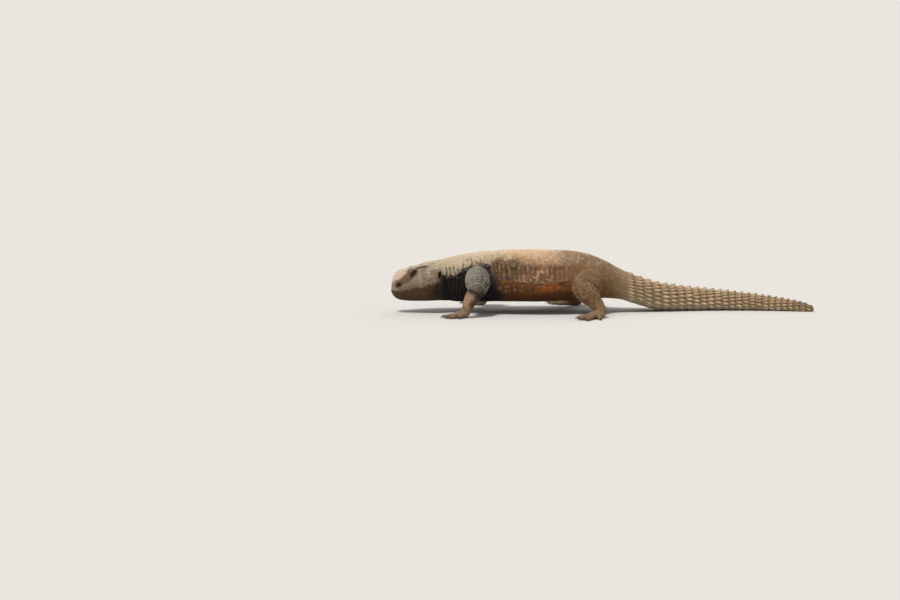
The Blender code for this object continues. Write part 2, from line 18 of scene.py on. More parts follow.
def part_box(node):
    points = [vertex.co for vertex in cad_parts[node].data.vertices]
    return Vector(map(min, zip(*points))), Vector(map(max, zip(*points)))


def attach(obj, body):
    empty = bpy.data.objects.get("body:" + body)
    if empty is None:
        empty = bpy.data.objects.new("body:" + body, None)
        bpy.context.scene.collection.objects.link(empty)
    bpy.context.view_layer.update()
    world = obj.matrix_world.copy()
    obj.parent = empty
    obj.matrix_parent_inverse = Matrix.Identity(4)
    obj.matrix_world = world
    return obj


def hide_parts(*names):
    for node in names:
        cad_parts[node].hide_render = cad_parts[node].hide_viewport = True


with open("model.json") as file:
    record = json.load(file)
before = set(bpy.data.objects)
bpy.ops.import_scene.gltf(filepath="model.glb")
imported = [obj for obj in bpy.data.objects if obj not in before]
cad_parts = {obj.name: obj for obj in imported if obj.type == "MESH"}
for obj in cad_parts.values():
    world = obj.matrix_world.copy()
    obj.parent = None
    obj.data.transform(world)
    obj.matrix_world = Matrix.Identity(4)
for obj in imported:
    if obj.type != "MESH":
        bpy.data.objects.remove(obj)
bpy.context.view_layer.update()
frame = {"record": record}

MM = 0.001
UP = np.array([0.0, 0.0, 1.0])
SIDES = (-1, 1)
FAR = 9.0

# The body's driving dimensions, as in the solids: distance behind the snout, half width, and the heights of
# the back, of the widest level and of the belly
TOTAL_LENGTH = 469.0
OUTLINE = (
    (0.0, 0.0, 26.0, 26.0, 26.0), (0.6, 5.6, 34.6, 24.2, 21.0), (3.0, 9.4, 42.4, 23.8, 17.0),
    (7.0, 11.8, 45.8, 24.2, 14.4), (12.0, 13.9, 47.7, 25.2, 13.2), (23.0, 18.2, 49.1, 28.2, 12.4),
    (34.0, 22.4, 53.5, 30.8, 12.3), (43.0, 24.4, 55.6, 32.4, 12.4), (51.0, 22.8, 56.8, 33.4, 12.6),
    (60.0, 20.8, 58.8, 34.0, 12.2), (76.0, 25.4, 62.6, 34.5, 11.0), (95.0, 33.0, 64.9, 34.5, 11.4),
    (125.0, 41.5, 67.9, 33.5, 12.0), (160.0, 44.0, 68.4, 33.0, 12.0), (190.0, 41.0, 67.6, 33.5, 12.6),
    (213.0, 33.5, 64.4, 33.5, 14.0), (235.0, 26.0, 56.0, 32.0, 15.0), (250.0, 22.0, 48.0, 28.5, 13.5),
    (270.0, 19.8, 38.5, 21.5, 7.5), (295.0, 17.4, 30.0, 14.5, 1.0), (320.0, 15.6, 25.8, 12.0, -0.4),
    (380.0, 11.8, 19.6, 9.0, -0.4), (430.0, 8.0, 13.6, 6.2, -0.4), (460.0, 4.6, 8.6, 3.8, -0.4),
    (468.0, 2.2, 5.0, 2.6, 0.2),
)
TAIL_TIP = (TOTAL_LENGTH, 0.0, 2.8)
HEADING = (
    (0, 8), (50, 7), (85, 1), (125, -3), (185, 2), (240, 6), (300, 10), (360, 1), (430, -15), (469, -20),
)
STRAIGHT_AT = 150.0
ROUNDNESS_ABOVE = ((0, 2.1), (12, 2.5), (23, 3.0), (43, 2.7), (75, 2.3), (250, 2.3), (469, 2.1))
ROUNDNESS_BELOW = ((0, 2.1), (30, 2.5), (75, 2.5), (120, 2.7), (250, 2.5), (469, 2.2))

# Swellings and hollows on each side: distance behind the snout, height, reach along, reach up, amount
RELIEF = {
    "nasal swelling": (6.6, 32.6, 3.4, 3.2, 0.7),
    "hollow before the eye": (13.5, 39.5, 4.0, 3.4, -1.1),
    "ridge over the snout": (12.5, 45.0, 8.0, 2.2, 0.7),
    "brow": (23.5, 49.0, 6.5, 2.4, 1.6),
    "cheek under the eye": (23.5, 37.2, 7.0, 2.6, 0.9),
    "temple": (35.5, 47.0, 5.0, 4.2, -1.3),
    "jowl": (43.0, 30.0, 6.5, 8.0, 1.3),
    "rim before the ear": (46.2, 43.0, 1.7, 5.5, 0.9),
    "hollow behind the jaw": (59.0, 33.0, 4.5, 10.0, -1.4),
    "shoulder blade": (99.0, 54.0, 11.0, 7.0, 1.2),
    "hip": (223.0, 50.0, 10.0, 6.0, 1.4),
}
MOUTH_CORNER = 33.0
EYE_AT = (23.2, 11.7, 44.2)
EYE_RADIUS = 4.6
LID = 1.1
LID_OPENING = (3.9, 2.2)
LID_SLANT = math.radians(42)
GAZE_FORWARD = 0.22
GAZE_UP = 0.12
# Middle, half sizes and lean of the openings on each side of the head, and how far out they start
EAR = ((50.6, 43.0), (1.9, 4.3), math.radians(12))
EAR_OUT = 12
NOSTRIL = ((6.4, 31.4), (1.75, 1.2), math.radians(-30))
NOSTRIL_OUT = 5

# Radii along the upper and lower segment of the limbs
LIMB_RADII = {
    "fore": ((14.8, 14.4, 12.8, 9.0), (8.8, 8.2, 6.8, 5.6)),
    "hind": ((15.5, 15.4, 13.6, 10.6), (10.6, 10.8, 8.0, 6.2)),
}
LIMBS = {
    "fore_left": {"joints": ((97, -20, 42), (94, -58, 29), (82, -65, 7.6)), "points": (-0.93, -0.37)},
    "fore_right": {"joints": ((99, 20, 42), (108, 57, 29), (101, 65, 7.6)), "points": (-0.84, 0.54)},
    "hind_left": {"joints": ((222, -12, 35), (209, -52, 31), (231, -66, 8.4)), "points": (-0.62, -0.78)},
    "hind_right": {"joints": ((222, 12, 35), (196, 51, 32), (207, 68, 8.4)), "points": (-0.90, 0.44)},
}
# How far the palm lies ahead of the wrist, its half sizes and its height
PALMS = {"fore": (5.6, (9.4, 8.0, 4.2), 3.6), "hind": (9.0, (13.5, 7.8, 4.5), 3.9)}
# Each digit's turn from the palm's direction, start, length and radius
DIGITS = {
    "fore": (
        (44, 6.0, 9.0, 2.2), (20, 7.6, 12.0, 2.3), (0, 8.2, 13.5, 2.4), (-21, 7.4, 12.5, 2.3),
        (-52, 5.4, 9.0, 2.1),
    ),
    "hind": (
        (42, 10.0, 8.5, 2.3), (22, 12.2, 12.5, 2.4), (3, 13.0, 16.5, 2.5), (-15, 12.4, 19.5, 2.5),
        (-46, 8.0, 13.0, 2.2),
    ),
}
HAND_REACH = (5.8, 8.5, 10.0, 10.0)
# Sections of a digit: share of its length, share of its radius, height
DIGIT_SECTIONS = (
    (-0.5, 0.7, 3.6), (-0.35, 0.95, 3.5), (-0.1, 1.02, 3.3), (0.1, 1.0, 3.1), (0.28, 0.98, 2.9),
    (0.42, 1.06, 2.8), (0.58, 0.98, 2.4), (0.72, 0.9, 2.1), (0.86, 0.88, 1.9), (0.96, 0.78, 1.8),
    (1.02, 0.5, 1.7),
)
CLAW_LENGTH = 5.4
CLAW_RADIUS = 1.25
# Sections of a claw: share of its length, height, share of its radius
CLAW_SECTIONS = (
    (-0.25, 2.2, 0.95), (0.0, 2.3, 1.0), (0.14, 2.5, 0.97), (0.3, 2.6, 0.86), (0.48, 2.5, 0.7),
    (0.66, 2.1, 0.52), (0.82, 1.45, 0.34), (0.94, 0.85, 0.18),
)
CLAW_SIDES = 12

# The skin's first sections behind the snout. It lies COAT inside the solids, and the scales stand on it
SNOUT_RINGS = (0.12, 0.35, 0.7, 1.2, 1.9, 2.7, 3.7)
COAT = 0.35
VOXEL = 0.85


def smooth_through(at, known, values):
    """Cubic curve through the known values, with slopes that don't overshoot between them."""
    step = np.diff(known)
    rise = np.diff(values) / step
    slope = np.empty(len(known))
    slope[0], slope[-1] = rise[0], rise[-1]
    same_way = rise[:-1] * rise[1:] > 0
    mean = 2 * rise[:-1] * rise[1:] / np.where(same_way, rise[:-1] + rise[1:], 1)
    slope[1:-1] = np.where(same_way, mean, 0)
    i = np.clip(np.searchsorted(known, at, side="right") - 1, 0, len(step) - 1)
    t = (at - known[i]) / step[i]
    start = values[i] * (1 + 2 * t) * (1 - t) ** 2 + slope[i] * step[i] * t * (1 - t) ** 2
    end = values[i + 1] * t * t * (3 - 2 * t) - slope[i + 1] * step[i] * t * t * (1 - t)
    return start + end


def along_table(s, table):
    """The value at s of a table of places and values, straight between its rows."""
    return np.interp(s, *np.array(table, float).T)


def outline(s):
    """Half width and the heights of back, widest level and belly. The square root rounds the snout."""
    table = np.array(OUTLINE)
    root = np.sqrt(np.clip(s, 0, table[-1, 0]))
    return tuple(smooth_through(root, np.sqrt(table[:, 0]), table[:, k]) for k in (1, 2, 3, 4))


def summed(steps):
    return np.concatenate([[0], np.cumsum(steps)])


def path():
    """Fine points along the body's axis, seen from above: distance behind the snout, x, y and heading."""
    s = np.linspace(0, TOTAL_LENGTH, int(TOTAL_LENGTH) * 2 + 1)
    table = np.array(HEADING, float)
    heading = np.radians(smooth_through(s, table[:, 0], table[:, 1]))
    step = s[1] - s[0]
    between = (heading[1:] + heading[:-1]) / 2
    x, y = (summed(part * step) for part in (np.cos(between), np.sin(between)))
    x += STRAIGHT_AT - np.interp(STRAIGHT_AT, s, x)
    y -= np.interp(STRAIGHT_AT, s, y)
    return s, x, y, heading


PATH = path()


def axis_at(s):
    """x, y and heading of the body's axis."""
    return (np.interp(s, PATH[0], values) for values in PATH[1:])


def place(s, sideways, height):
    """A point at a distance behind the snout, sideways from the axis (left is negative) and up."""
    x, y, heading = axis_at(s)
    spot = (x - np.sin(heading) * sideways, y + np.cos(heading) * sideways, height)
    return np.stack(np.broadcast_arrays(*spot), -1)


def body_place(points):
    """Distance behind the snout, place sideways and height of each point: place() turned round."""
    s = np.clip(points[:, 0], 0, TOTAL_LENGTH)
    for _ in range(5):
        x, y, heading = axis_at(s)
        ahead = (points[:, 0] - x) * np.cos(heading) + (points[:, 1] - y) * np.sin(heading)
        s = np.clip(s + ahead, 0, TOTAL_LENGTH)
    sideways = (points[:, 1] - y) * np.cos(heading) - (points[:, 0] - x) * np.sin(heading)
    return s, sideways, points[:, 2]


def bell(value, middle, reach):
    return np.exp(-(((value - middle) / reach) ** 2))


def ramp(value, low, high):
    """0 at low and before it, 1 at high and past it, and smooth between them."""
    t = np.clip((value - low) / (high - low), 0, 1)
    return t * t * (3 - 2 * t)


def fall(value, low, high):
    """1 at low and before it, 0 at high and past it."""
    return 1 - ramp(value, low, high)


def window(value, low, high, soft):
    """1 well inside low and high, falling smoothly to 0 at them."""
    return ramp(value, low, low + soft) * fall(value, high - soft, high)


def relief(s, height):
    """How far the skin stands out from the plain cross-section."""
    out = np.zeros(np.broadcast(s, height).shape)
    for along, up, reach_along, reach_up, amount in RELIEF.values():
        out = out + amount * bell(s, along, reach_along) * bell(height, up, reach_up)
    return out


def section(s, degrees, side, grow=0.0):
    """The point of the body's surface at a distance behind the snout and an angle round its section."""
    half_width, back, middle, belly = outline(s)
    above = degrees >= 0
    reach = np.where(above, back - middle, middle - belly)
    power = np.where(above, along_table(s, ROUNDNESS_ABOVE), along_table(s, ROUNDNESS_BELOW))
    angle = np.radians(np.abs(degrees))
    across = np.clip(np.cos(angle), 0, 1) ** (2 / power)
    up = np.sin(angle) ** (2 / power) * np.where(above, 1, -1)
    out = grow + relief(s, middle + reach * up)
    lean = unit(np.stack([across / np.maximum(half_width, 1), up / np.maximum(reach, 1)], -1))
    sideways = half_width * across + out * lean[..., 0]
    return place(s, side * sideways, middle + reach * up + out * lean[..., 1])


def half_width_at(s, height):
    """How far the plain cross-section reaches sideways at a height above its widest level."""
    half_width, back, middle, _ = outline(np.array([s]))
    power = along_table(s, ROUNDNESS_ABOVE)
    share = (height - middle[0]) / (back[0] - middle[0])
    return half_width[0] * (1 - share**power) ** (1 / power)


def unit(vector):
    vector = np.asarray(vector, float)
    return vector / np.linalg.norm(vector, axis=-1, keepdims=True)


def dot(one, two):
    """The product of each row of one with the same row of two."""
    return np.einsum("nc,nc->n", one, two)


def upright_axes(direction):
    """Three right-angled directions: the given one, the level one across it, and the rising one."""
    along = unit(direction)
    across = unit(np.cross(UP, along))
    return np.array([along, across, np.cross(along, across)])


def eye_axes(side):
    """The eye looks outwards, a little forwards and up. Its opening slants with the head."""
    _, _, heading = axis_at(EYE_AT[0])
    forward = np.array([-math.cos(heading), -math.sin(heading), 0.0])
    outward = np.array([-math.sin(heading), math.cos(heading), 0.0]) * side
    gaze = unit(outward + GAZE_FORWARD * forward + np.array([0, 0, GAZE_UP]))
    level = forward * math.cos(LID_SLANT) - UP * math.sin(LID_SLANT)
    level = unit(level - gaze * (level @ gaze))
    return np.array([gaze, level, np.cross(gaze, level)])


def eye_centre(side):
    return place(EYE_AT[0], side * EYE_AT[1], EYE_AT[2])


def find_shift():
    """Where the frame's origin lies in the shapes' millimetres, from the middle of the left eye's node."""
    low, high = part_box("eye_left")
    return eye_centre(-1) - np.array((low + high) / 2) / MM


SHIFT = find_shift()


def hashed(cells, seed):
    """A repeatable number from 0 to 1 for each whole-numbered cell."""
    x, y, z = (cells[..., k].astype(np.int64) for k in range(3))
    mixed = x * 374761393 + y * 668265263 + z * 2147483629 + seed * 1442695041
    mixed = (mixed ^ (mixed >> 13)) * 1274126177
    mixed = mixed ^ (mixed >> 16)
    return (mixed & 0xFFFF) / 65535.0


def chance(points, cells_per_mm, seed):
    """A repeatable number from 0 to 1 for each small cell of space."""
    return hashed(np.floor(points * cells_per_mm), seed)


def noise(points, size, seed):
    """Smooth noise from -1 to 1, with bumps about size across. The size may differ by direction."""
    scaled = points / np.asarray(size, float)
    cell = np.floor(scaled)
    t = scaled - cell
    t = t * t * (3 - 2 * t)
    total = np.zeros(len(points))
    for corner in np.ndindex(2, 2, 2):
        weight = np.prod(np.where(np.array(corner) == 1, t, 1 - t), axis=1)
        total += weight * hashed(cell + np.array(corner), seed)
    return total * 2 - 1


def clouds(points, size, seed):
    """Noise in three layers, each half as large and half as strong as the one before."""
    size = np.asarray(size, float)
    return sum(noise(points, size / 2**k, seed + k) / 2**k for k in range(3)) / 1.4


def patches(points, size, seed, low, high):
    """0 to 1 in soft patches: clouds from low to high."""
    return ramp(clouds(points, size, seed), low, high)


def linked(name, data):
    """A new object in the scene."""
    obj = bpy.data.objects.new(name, data)
    bpy.context.scene.collection.objects.link(obj)
    return obj


def plain_mesh(name, points, faces):
    mesh = bpy.data.meshes.new(name)
    mesh.from_pydata(points, [], faces)
    return mesh


def new_object(name, points, faces):
    """A mesh object in the frame's metres from points in millimetres."""
    return linked(name, plain_mesh(name, ((np.asarray(points) - SHIFT) * MM).tolist(), faces))


def triangle_object(name, points, faces):
    """The same for large arrays of triangles."""
    mesh = bpy.data.meshes.new(name)
    mesh.vertices.add(len(points))
    mesh.vertices.foreach_set("co", ((points - SHIFT) * MM).astype(np.float32).ravel())
    mesh.loops.add(faces.size)
    mesh.loops.foreach_set("vertex_index", faces.astype(np.int32).ravel())
    mesh.polygons.add(len(faces))
    mesh.polygons.foreach_set("loop_start", np.arange(0, faces.size, 3, dtype=np.int32))
    mesh.update(calc_edges=True)
    return linked(name, mesh)


def round_shading(mesh):
    mesh.polygons.foreach_set("use_smooth", np.ones(len(mesh.polygons), bool))


def ring_faces(count, around, start=0):
    """Faces of a closed surface through rings, whose two end points come after the rings."""
    first, last = start + count * around, start + count * around + 1
    faces = []
    for k in range(around):
        nxt = (k + 1) % around
        faces.append((first, start + nxt, start + k))
        faces.append((last, start + (count - 1) * around + k, start + (count - 1) * around + nxt))
        for i in range(count - 1):
            a, b = start + i * around, start + (i + 1) * around
            faces.append((a + k, a + nxt, b + nxt, b + k))
    return faces


def joined(shapes):
    """Points and faces of closed surfaces, each given by its rings and its two end points."""
    points, faces = [], []
    for rings, first, last in shapes:
        faces += ring_faces(*rings.shape[:2], sum(len(part) for part in points))
        points.append(np.concatenate([rings.reshape(-1, 3), [first, last]]))
    return np.concatenate(points), faces


def ball(centre, half_sizes, axes, around=40, bands=24):
    """Rings and end points of an ellipsoid on three given directions."""
    latitude = np.radians(np.linspace(-90, 90, bands + 1)[1:-1])
    turn = np.radians(np.arange(around) * 360 / around)
    level = np.cos(latitude)[:, None]
    rings = np.stack([np.sin(latitude)[:, None] + 0 * turn, level * np.cos(turn), level * np.sin(turn)], -1)
    pole = axes[0] * half_sizes[0]
    return (rings * np.asarray(half_sizes)) @ axes + centre, centre - pole, centre + pole


def body_surface():
    s = np.concatenate([SNOUT_RINGS, np.arange(5.0, OUTLINE[-1][0], 1.5)])[:, None]
    left = np.linspace(90, -90, 61)[None]
    rings = np.concatenate([section(s, left, -1, -COAT), section(s, left[:, -2:0:-1], 1, -COAT)], axis=1)
    return rings, place(COAT, 0.0, OUTLINE[0][3]), place(*TAIL_TIP)


def circle(turn, axes):
    """Directions round the first axis."""
    return np.cos(turn)[:, None] * axes[1] + np.sin(turn)[:, None] * axes[2]


def tube(centres, radii, axes, around=36):
    """Rings round a line of centres, on two directions across it."""
    turn = np.radians(np.arange(around) * 360 / around)
    return centres[:, None] + radii[:, None, None] * circle(turn, axes)


def limb_joints(key):
    """The limb's root, its elbow or knee, and its wrist or ankle."""
    return [np.array(joint, float) for joint in LIMBS[key]["joints"]]


def limb_surface(start, end, radii, sag):
    """A rounded limb segment whose radii are spread along it, with a dome on each end."""
    axes = upright_axes(end - start)
    length = np.linalg.norm(end - start)
    dome = np.radians(np.linspace(80, 10, 8))
    known = np.linspace(0, length, len(radii))
    inside = np.linspace(0, length, 24)
    distance = np.concatenate([-radii[0] * np.sin(dome), inside, length + radii[-1] * np.sin(dome[::-1])])
    spread = smooth_through(inside, known, np.array(radii, float))
    radius = np.concatenate([radii[0] * np.cos(dome), spread, radii[-1] * np.cos(dome[::-1])]) - COAT
    bend = sag * np.sin(math.pi * np.clip(distance / length, 0, 1))
    centres = start + distance[:, None] * axes[0] + bend[:, None] * axes[2]
    return tube(centres, radius, axes), start - axes[0] * radii[0], end + axes[0] * radii[-1]


def hand_frame(key):
    """Kind, wrist on the floor, direction, and where and which way each digit leaves the palm."""
    kind, side_name = key.split("_")
    side = -1 if side_name == "left" else 1
    wrist = np.array([*LIMBS[key]["joints"][2][:2], 0.0])
    direction = unit([*LIMBS[key]["points"], 0.0])
    rays = []
    for turn, start, length, radius in DIGITS[kind]:
        angle = math.atan2(direction[1], direction[0]) + math.radians(turn) * side
        ray = np.array([math.cos(angle), math.sin(angle), 0.0])
        rays.append((wrist + direction * (PALMS[kind][0] - 2) + ray * start, ray, length, radius))
    return kind, wrist, direction, rays


def digit_surface(root, ray, length, radius):
    """A toe with a knuckle and a fleshy tip, resting on the floor."""
    share, thick, height = np.array(DIGIT_SECTIONS).T
    centres = root + ray * (share * length)[:, None] + UP * height[:, None]
    rings = tube(centres, radius * thick - COAT / 2, np.array([ray, np.cross(UP, ray), UP]), around=20)
    return rings, centres[0] - ray * 0.5, root + ray * (length + radius * 0.4) + UP * 1.6


def joined_flesh():
    """Points and faces of the whole animal as overlapping closed shapes."""
    shapes = [body_surface()]
    for side in SIDES:
        shapes.append(ball(eye_centre(side), [EYE_RADIUS + LID - 0.2] * 3, eye_axes(side)))
    for key in LIMBS:
        kind, wrist, direction, rays = hand_frame(key)
        upper, lower = LIMB_RADII[kind]
        root, middle, end = limb_joints(key)
        shapes += [limb_surface(root, middle, upper, sag=1.5), limb_surface(middle, end, lower, sag=0.8)]
        ahead, half_sizes, height = PALMS[kind]
        palm = wrist + direction * ahead + np.array([0, 0, height])
        shapes.append(ball(palm, np.array(half_sizes) - COAT, upright_axes(direction)))
        shapes += [digit_surface(*ray) for ray in rays]
    return joined(shapes)


def remeshed(points, faces, voxel):
    """One closed surface of small even squares round all the shapes. The work is done in millimetres."""
    mesh = plain_mesh("flesh", points.tolist(), faces)
    obj = linked("flesh", mesh)
    modifier = obj.modifiers.new("join", "REMESH")
    modifier.mode = "VOXEL"
    modifier.voxel_size = voxel
    bpy.context.view_layer.update()
    made = bpy.data.meshes.new_from_object(obj.evaluated_get(bpy.context.evaluated_depsgraph_get()))
    bpy.data.objects.remove(obj)
    bpy.data.meshes.remove(mesh)
    return made


def read(items, field, width, kind=np.float32):
    """One field of a mesh's points, edges or triangles, as an array."""
    values = np.empty(len(items) * width, kind)
    items.foreach_get(field, values)
    return values.reshape(-1, width)


def mesh_points(mesh):
    return read(mesh.vertices, "co", 3).astype(float)


def mesh_normals(mesh):
    return read(mesh.vertex_normals, "vector", 3).astype(float)


def set_points(mesh, points):
    mesh.vertices.foreach_set("co", np.asarray(points, np.float32).ravel())
    mesh.update()


def smooth_mesh(mesh, weight, pulls):
    """Moves each point towards the middle of its neighbours, by its weight, once for each pull."""
    edges = read(mesh.edges, "vertices", 2, np.int32)
    one, two = edges.T
    points = mesh_points(mesh)
    count = np.bincount(edges.ravel(), minlength=len(points))[:, None]
    for pull in pulls:
        total = np.empty_like(points)
        for k in range(3):
            forth = np.bincount(one, points[two, k], len(points))
            total[:, k] = forth + np.bincount(two, points[one, k], len(points))
        points = points + (weight * pull)[:, None] * (total / count - points)
    set_points(mesh, points)


def refine(mesh, chosen):
    """Splits each face whose points are all chosen into four."""
    shape = bmesh.new()
    shape.from_mesh(mesh)
    edges = set()
    for face in shape.faces:
        if all(chosen[vertex.index] for vertex in face.verts):
            edges.update(face.edges)
    bmesh.ops.subdivide_edges(shape, edges=list(edges), cuts=1, use_grid_fill=True)
    shape.to_mesh(mesh)
    shape.free()


def eye_view(points, side):
    """Places in the eye's own directions: outwards, forwards along its opening, and up."""
    return (points - eye_centre(side)) @ eye_axes(side).T


def eye_distance(points):
    """How far each point is from the middle of the nearer eye."""
    return np.minimum(*(np.linalg.norm(points - eye_centre(side), axis=1) for side in SIDES))


def almond(along, up):
    """1 on the edge of the lids' opening, and less inside it."""
    return (np.abs(along) / (LID_OPENING[0] * 1.12)) ** 2 + (np.abs(up) / LID_OPENING[1]) ** 1.3


def eye_opening(points, side):
    """The same for any points, and far off behind the eye."""
    out, along, up = eye_view(points, side).T
    return np.where(out > 1.5, almond(along, up), FAR)


def oval(s, height, at, size, lean):
    """1 on the edge of a leaning oval on the side of the head, and less inside it."""
    along, up = s - at[0], height - at[1]
    level = along * math.cos(lean) - up * math.sin(lean)
    rise = along * math.sin(lean) + up * math.cos(lean)
    return np.sqrt((level / size[0]) ** 2 + (rise / size[1]) ** 2)


def ear_edge(s, sideways, height):
    return np.where(np.abs(sideways) > EAR_OUT, oval(s, height, *EAR), FAR)


def nostril_edge(s, sideways, height):
    return np.where(np.abs(sideways) > NOSTRIL_OUT, oval(s, height, *NOSTRIL), FAR)


def mouth_gap(s, height):
    """How far above the line of the mouth a point lies, or far off where the head has no mouth."""
    return np.where(s < MOUTH_CORNER + 1.5, height - outline(s)[2], 99.0)


def limb_place(points):
    """For each point the nearest limb: its number, how far along it, its reach, and how far to the front.

    Along runs from 0 at the body, 1 at the elbow or knee and 2 at the wrist or ankle to 3 at the claws.
    Reach and front are measured from the limb's axis in its own radii.
    """
    best = np.full(len(points), 1e9)
    number = np.zeros(len(points), int)
    along, front = np.zeros((2, len(points)))
    for index, key in enumerate(LIMBS):
        kind, wrist, direction, _ = hand_frame(key)
        length = PALMS[kind][0] + PALMS[kind][1][0] + 14
        ends = [*limb_joints(key), wrist + direction * length + np.array([0, 0, 1.5])]
        for k, sizes in enumerate((*LIMB_RADII[kind], HAND_REACH)):
            run = ends[k + 1] - ends[k]
            t = np.clip((points - ends[k]) @ run / (run @ run), 0, 1)
            away = points - ends[k] - t[:, None] * run
            size = np.interp(t, (0, 1 / 3, 2 / 3, 1), sizes)
            reach = np.linalg.norm(away, axis=1) / size
            nearer = reach < best
            best = np.where(nearer, reach, best)
            number = np.where(nearer, index, number)
            along = np.where(nearer, k + t, along)
            front = np.where(nearer, -away[:, 0] / size, front)
    return number, along, best, front


def outside_body(s, sideways, height):
    """1 on the body's plain cross-section, and more outside it."""
    half_width, back, middle, belly = outline(s)
    reach = np.where(height > middle, back - middle, middle - belly)
    across = (np.abs(sideways) / np.maximum(half_width, 1)) ** 2.4
    upright = (np.abs(height - middle) / np.maximum(reach, 1)) ** 2.4
    return (across + upright) ** (1 / 2.4)


def limb_share(points):
    """0 on the body and 1 on the limbs, changing where they meet."""
    s, sideways, height = body_place(points)
    near = np.maximum(fall(limb_place(points)[2], 1.5, 2.2), (height < 9) & (s < 250))
    return ramp(outside_body(s, sideways, height), 1.03, 1.2) * near * ((s > 40) & (s < 262))


def wave(distance, length):
    return np.sin(distance * 2 * math.pi / length)


def body_folds(points):
    """Wrinkles and folds of loose skin on the neck, throat, shoulders and flanks."""
    s, sideways, height = body_place(points)
    warp = noise(points, 16, 11)
    fine = wave(s - 0.15 * height + 1.6 * noise(points, 9, 12), 4.1)
    neck = window(s, 55, 94, 9) * window(height, 12.5, 54, 8)
    out = neck * (0.85 * wave(s + 0.25 * height + 2.2 * warp, 8.6) + 0.28 * fine)
    out -= 1.1 * bell(s + 0.3 * (height - 20), 62, 1.8) * window(height, 9, 40, 8) * ramp(s, 50, 56)
    flank = window(s, 108, 212, 12) * window(height, 20, 57, 9)
    narrow = wave(s + 0.2 * height + 2.4 * noise(points, 12, 13), 5.6)
    out += flank * (0.4 * wave(s + 2.8 * warp, 15.0) + 0.2 * narrow * (0.6 + 0.4 * noise(points, 20, 14)))
    bars = np.clip(flank_bars(points, s, height), -1, 1)
    out += window(s, 114, 205, 12) * window(height, 40, 58, 5) * 0.3 * bars
    level = side_line(points, s)
    side_fold = window(s, 108, 204, 16) * (0.6 + 0.4 * noise(points, 9, 15))
    out += side_fold * (0.55 * bell(height, level + 0.8, 1.8) - 0.65 * bell(height, level - 2.2, 1.6))
    out -= 0.8 * nape_gaps(points, s, sideways, height)
    above = height - back_edge(points, s)
    lobes = 1.3 * ramp(above, -0.9, 0.9) * fall(above, 3, 14) + 0.5 * bell(above, 2.0, 2.0)
    out += window(s, 50, 112, 10) * lobes
    out += 0.16 * noise(points, (5, 9, 7), 16) * ramp(s, 60, 80)
    return out


def limb_folds(points):
    """Wrinkles where the joints bend, and the swell of the muscles between them."""
    along = limb_place(points)[1]
    near_joint = bell(along, 1.0, 0.16) + bell(along, 2.0, 0.14)
    wrinkles = np.sin(along * 70 + 3 * noise(points, 8, 21))
    return 0.28 * near_joint * wrinkles + 0.4 * noise(points, (9, 9, 12), 22)


def face_detail(points, normals, s, sideways, height):
    """Moves that shape the lips, nostrils, ears and lids."""
    gap = mouth_gap(s, height)
    front = fall(s, MOUTH_CORNER - 3, MOUTH_CORNER + 1.5)
    out = -1.15 * front * bell(gap, 0, 0.38)
    out += front * (0.42 * bell(gap, 1.3, 0.9) + 0.5 * bell(gap, -1.4, 1.0))
    nostril = nostril_edge(s, sideways, height)
    out += 0.4 * bell(nostril, 1.25, 0.3) - 1.7 * fall(nostril, 0.55, 1.05)
    ear = ear_edge(s, sideways, height)
    out += 0.45 * bell(ear, 1.2, 0.18) - 2.6 * fall(ear, 0.72, 1.05)
    moved = points + normals * out[:, None]
    for side in SIDES:
        view = eye_view(points, side)
        opening = eye_opening(points, side)
        radius = np.linalg.norm(view[:, 1:], axis=1)
        push = 0.35 * bell(opening, 1.25, 0.22) - 2.6 * fall(opening, 0.86, 1.03)
        push -= 0.4 * bell(radius, 6.0, 0.6)
        near = (view[:, 0] > 0) & (radius < 9)
        moved += np.where(near, push, 0)[:, None] * eye_axes(side)[0]
    return moved


def near_openings(points):
    """Whether each point is near the mouth, a nostril, an ear or the lids."""
    where = s, _, height = body_place(points)
    near = np.abs(mouth_gap(s, height)) < 3.4
    near |= (nostril_edge(*where) < 3.4) | (ear_edge(*where) < 2.2)
    return near | (eye_distance(points) < 8.5)


def smoothing(points):
    """How much to smooth the skin where limbs meet the body, at the limbs' joints and round the lids."""
    s, sideways, height = body_place(points)
    outside = outside_body(s, sideways, height)
    meeting = bell(outside, 1.12, 0.28) * ((s > 75) & (s < 258))
    along = limb_place(points)[1]
    joints = np.maximum(bell(along, 1.0, 0.2), bell(along, 2.05, 0.25)) * (outside > 1.1)
    return np.clip(meeting + joints * 0.8 + bell(eye_distance(points), 7.2, 1.6) * 0.8, 0, 1)


def build_skin():
    """The whole skin as one mesh in millimetres: joined, blended at the limbs, then detailed."""
    mesh = remeshed(*joined_flesh(), VOXEL)
    weight = smoothing(mesh_points(mesh))
    smooth_mesh(mesh, np.ones(len(weight)), [0.5, -0.52] * 3)
    smooth_mesh(mesh, weight, [0.6] * 16)
    for chosen in (lambda points: body_place(points)[0] < 60, near_openings):
        refine(mesh, chosen(mesh_points(mesh)))
        smooth_mesh(mesh, (body_place(mesh_points(mesh))[0] < 62).astype(float), [0.5] * 2)
    points, normals = mesh_points(mesh), mesh_normals(mesh)
    where = body_place(points)
    share = limb_share(points)
    out = (1 - share) * body_folds(points) + share * limb_folds(points)
    out *= ramp(points[:, 2], 0.2, 3.0)
    points = points + normals * out[:, None]
    set_points(mesh, points)
    points = face_detail(points, mesh_normals(mesh), *where)
    points[:, 2] = np.maximum(points[:, 2], 0.05)
    set_points(mesh, points)
    round_shading(mesh)
    return mesh


